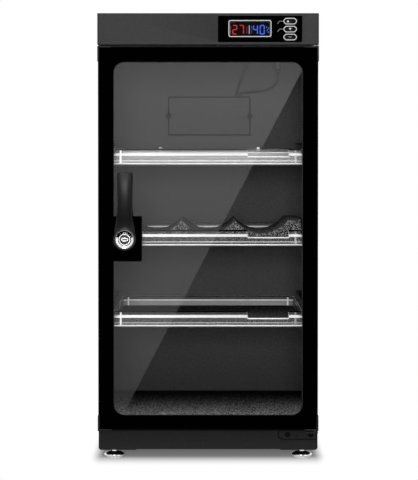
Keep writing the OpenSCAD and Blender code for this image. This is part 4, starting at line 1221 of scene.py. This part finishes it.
def digit(name, figure, x, finish):
    """One seven-segment figure of the display, centred at x."""
    z = (LENS_LOW.z + LENS_HIGH.z) / 2 - DIGIT_DROP
    w = DIGIT_W / 2
    h = DIGIT_H / 2
    s = STROKE
    gap = SEGMENT_GAP
    across = {"a": h - s, "g": -s / 2, "d": -h}
    upright = {"f": (-w, 1), "b": (w - s, 1), "e": (-w, -1), "c": (w - s, -1)}
    bm = bmesh.new()
    for part in SEGMENTS_OF[figure]:
        if part in across:
            z0 = z + across[part]
            bar_bm(bm, x - w + s / 2 + gap, x + w - s / 2 - gap, z0, z0 + s, SEGMENT_SLANT)
        else:
            dx, up = upright[part]
            z0 = z + gap if up > 0 else z - h + s / 2
            z1 = z + h - s / 2 if up > 0 else z - gap
            bar_bm(bm, x + dx, x + dx + s, z0, z1, SEGMENT_SLANT)
    new_piece(name, bm, [finish], "display_module")


def display_marks(name, x, finish, bars):
    """Small marks of the display, each a bar as (x0, x1, z0, z1) in millimetres from its middle."""
    z = (LENS_LOW.z + LENS_HIGH.z) / 2 - DIGIT_DROP
    bm = bmesh.new()
    for x0, x1, z0, z1 in bars:
        bar_bm(bm, x + x0 * MM, x + x1 * MM, z + z0 * MM, z + z1 * MM, MARK_SLANT)
    new_piece(name, bm, [finish], "display_module")


def make_display():
    """Two lit numbers, red on the left and blue on the right of a white bar."""
    x = (LENS_LOW.x + LENS_HIGH.x) / 2
    digit("red_two", "2", x - 23.2 * MM, "red_light")
    digit("red_seven", "7", x - 12.9 * MM, "red_light")
    digit("blue_four", "4", x + 8.6 * MM, "blue_light")
    digit("blue_nought", "0", x + 18.9 * MM, "blue_light")
    half = [(-0.6, 0.6, 0.4, 5.6), (-0.6, 0.6, -5.6, -0.4)]
    display_marks("red_left_bars", x - 29.6 * MM, "red_dim", half)
    display_marks("blue_left_bars", x + 2.9 * MM, "blue_dim", half)
    display_marks("white_bar", x - 0.9 * MM, "white_light", [(-0.5, 0.5, -6.6, 6.6)])
    dots = [(dx, dx + 1.2, dz, dz + 1.4) for dx in (-1.9, 0.6) for dz in (-5.6, -2.7, 0.2, 3.1)]
    display_marks("red_unit_marks", x - 4.1 * MM, "red_dim", dots)
    percent = [
        (-2.2, -0.4, 2.8, 4.4),
        (1.0, 2.2, 1.6, 2.8),
        (-0.2, 1.0, -0.4, 1.2),
        (-1.4, -0.2, -2.2, -0.6),
        (0.4, 2.2, -4.6, -3.0),
    ]
    display_marks("blue_unit_marks", x + 27.0 * MM, "blue_light", percent)


make_display()


# Stage: floor, flags and reflection card


def stage_plane(name, corners, material, hidden_from=()):
    """A flat sheet of the studio, and the kinds of ray that don't see it."""
    mesh = bpy.data.meshes.new(name)
    mesh.from_pydata([Vector(c) for c in corners], [], [list(range(len(corners)))])
    mesh.materials.append(material)
    obj = bpy.data.objects.new(name, mesh)
    bpy.context.scene.collection.objects.link(obj)
    for ray in hidden_from:
        setattr(obj, "visible_" + ray, False)


def seen_or_mirrored(tree):
    """One for what the camera sees, straight, in metal or through glass, and nought for light."""
    path = add(tree, "LightPath")
    straight = add(
        tree,
        "Math",
        {"operation": "MAXIMUM"},
        links={0: path.outputs["Is Camera Ray"], 1: path.outputs["Is Glossy Ray"]},
    )
    seen = add(
        tree,
        "Math",
        {"operation": "MAXIMUM"},
        links={0: straight.outputs[0], 1: path.outputs["Is Transmission Ray"]},
    )
    return seen.outputs[0]


def white_floor(name):
    """A matt white floor, white away from the cabinet, which keeps the cabinet's shadow and adds a
    painted shadow round its footprint.
    """
    material, tree, surface = new_material(name)
    place = add(tree, "TexCoord").outputs["Object"]
    far = add(tree, "VectorMath", {"operation": "ABSOLUTE"}, links={0: place})
    past = add(
        tree,
        "VectorMath",
        {"operation": "SUBTRACT"},
        values={1: (SHADOW_X, SHADOW_Y, 0)},
        links={0: far.outputs[0]},
    )
    faded = add(
        tree,
        "VectorMath",
        {"operation": "DIVIDE"},
        values={1: (SHADOW_X_FADE, SHADOW_Y_FADE, 1)},
        links={0: past.outputs[0]},
    )
    outside = add(
        tree, "VectorMath", {"operation": "MAXIMUM"}, values={1: (0, 0, 0)}, links={0: faded.outputs[0]}
    )
    away = add(tree, "VectorMath", {"operation": "LENGTH"}, links={0: outside.outputs[0]})
    # Painted shadow: near the footprint the white's share falls to SHADOW_LEAST
    lit = add(
        tree,
        "MapRange",
        {"interpolation_type": "SMOOTHSTEP"},
        values={"From Min": 0.0, "From Max": 1.0, "To Min": SHADOW_LEAST, "To Max": 1.0},
        links={"Value": away.outputs["Value"]},
    )
    seen = seen_or_mirrored(tree)
    share = add(
        tree,
        "Math",
        {"operation": "MULTIPLY"},
        links={0: seen, 1: lit.outputs["Result"]},
    )
    matt = add(tree, "BsdfDiffuse", values={"Color": linear("#c8c8c8")})
    white = add(tree, "Emission", values={"Strength": 1.0})
    mix = add(
        tree,
        "MixShader",
        links={0: share.outputs[0], 1: matt.outputs[0], 2: white.outputs[0]},
    )
    tree.links.new(mix.outputs[0], surface)
    return material


def plain_light(name, strength):
    """A card that gives off an even light."""
    material, tree, surface = new_material(name)
    shader = add(tree, "Emission", values={"Strength": strength})
    tree.links.new(shader.outputs[0], surface)
    return material


def fading_light(name, low, top, strengths):
    """A card lit from above: its light fades from the top to the bottom."""
    material, tree, surface = new_material(name)
    place = add(tree, "TexCoord").outputs["Object"]
    height = add(tree, "SeparateXYZ", links={"Vector": place}).outputs["Z"]
    share = add(
        tree,
        "MapRange",
        values={"From Min": low, "From Max": top},
        links={"Value": height},
    )
    light = add(
        tree,
        "ValToRGB",
        links={"Fac": share.outputs["Result"]},
        stops=[(at, grey(strength)) for at, strength in strengths],
    )
    shader = add(tree, "Emission", links={"Color": light.outputs["Color"]})
    tree.links.new(shader.outputs[0], surface)
    return material


# Where the painted shadow on the floor begins to fade, and over how far, to the side and to the front
SHADOW_X = 0.165
SHADOW_X_FADE = 0.021
SHADOW_Y = 0.098
SHADOW_Y_FADE = 0.1
SHADOW_LEAST = 0.11
FLOOR_FRONT = DOOR_Y - 0.09
FLOOR_REACH = 6.0
FLAG_Y = DOOR_Y - 3.4
FLAG_LOW = -0.62
FLAG_TOP = 1.5
FLAG_HALF_W = 1.6
LOW_FLAG_HALF_W = 5.0
CARD_GAP = 0.02
CARD_LIGHT = [(0.0, 0.3), (0.5, 0.5), (1.0, 0.9)]
MIRRORED_ONLY = ("camera", "diffuse", "shadow")


def make_stage():
    floor = [
        (-FLOOR_REACH, FLOOR_FRONT, 0),
        (FLOOR_REACH, FLOOR_FRONT, 0),
        (FLOOR_REACH, FLOOR_REACH, 0),
        (-FLOOR_REACH, FLOOR_REACH, 0),
    ]
    stage_plane("floor", floor, white_floor("matt_white_floor"))
    black = plain_light("black_flag_cloth", 0.0)
    front = [
        (-FLAG_HALF_W, FLAG_Y, FLAG_LOW),
        (FLAG_HALF_W, FLAG_Y, FLAG_LOW),
        (FLAG_HALF_W, FLAG_Y, FLAG_TOP),
        (-FLAG_HALF_W, FLAG_Y, FLAG_TOP),
    ]
    stage_plane("front_flag", front, black, MIRRORED_ONLY)
    low = [
        (-LOW_FLAG_HALF_W, FLAG_Y, FLAG_LOW),
        (LOW_FLAG_HALF_W, FLAG_Y, FLAG_LOW),
        (LOW_FLAG_HALF_W, FLOOR_FRONT, FLAG_LOW),
        (-LOW_FLAG_HALF_W, FLOOR_FRONT, FLAG_LOW),
    ]
    stage_plane("low_flag", low, black, MIRRORED_ONLY)
    # The card's slanted edge, as points in X and Z of the door's face where it mirrors
    edge = [(0.164, 0.640), (-0.155, 0.026), (-0.26, 0.026), (-0.26, 0.645), (0.1665, 0.645)]
    away = DOOR_Y - (FLAG_Y + CARD_GAP)
    grow = (CAMERA_AWAY + away) / CAMERA_AWAY
    card = [(x * grow, FLAG_Y + CARD_GAP, EYE_Z + (z - EYE_Z) * grow) for x, z in edge]
    heights = [z for x, y, z in card]
    shaded = fading_light("softbox_card", min(heights), max(heights), CARD_LIGHT)
    stage_plane("reflection_card", card, shaded, MIRRORED_ONLY)


make_stage()


# Lamps and world


def area_lamp(name, at, aim, size, power):
    data = bpy.data.lights.new(name, "AREA")
    data.shape = "RECTANGLE"
    data.size, data.size_y = size
    data.energy = power
    lamp = bpy.data.objects.new(name, data)
    lamp.location = at
    lamp.rotation_euler = (Vector(aim) - Vector(at)).to_track_quat("-Z", "Y").to_euler()
    bpy.context.scene.collection.objects.link(lamp)


def make_lamps():
    middle = (0, 0, 0.35)
    area_lamp("front_softbox", (-0.1, DOOR_Y - 3.9, 0.72), middle, (0.9, 0.9), 88)
    area_lamp("key_softbox", (-0.3, -2.1, 2.1), middle, (1.0, 1.0), 20)
    area_lamp("fill_softbox", (2.0, -2.0, 1.0), middle, (1.4, 1.8), 6)
    area_lamp("top_softbox", (0, -0.1, 2.4), middle, (1.8, 1.8), 10)


def make_world():
    """White for what the camera, metal and glass see, and softer for the light it gives."""
    world = bpy.data.worlds.new("studio")
    bpy.context.scene.world = world
    world.use_nodes = True
    tree = world.node_tree
    tree.nodes.clear()
    output = add(tree, "OutputWorld")
    seen = seen_or_mirrored(tree)
    white = add(tree, "Background", values={"Strength": 1.0, "Color": grey(1.0)})
    soft = add(tree, "Background", values={"Strength": 0.3, "Color": grey(1.0)})
    mix = add(
        tree,
        "MixShader",
        links={0: seen, 1: soft.outputs[0], 2: white.outputs[0]},
    )
    tree.links.new(mix.outputs[0], output.inputs["Surface"])


make_lamps()
make_world()
bpy.context.scene.view_settings.view_transform = "Standard"
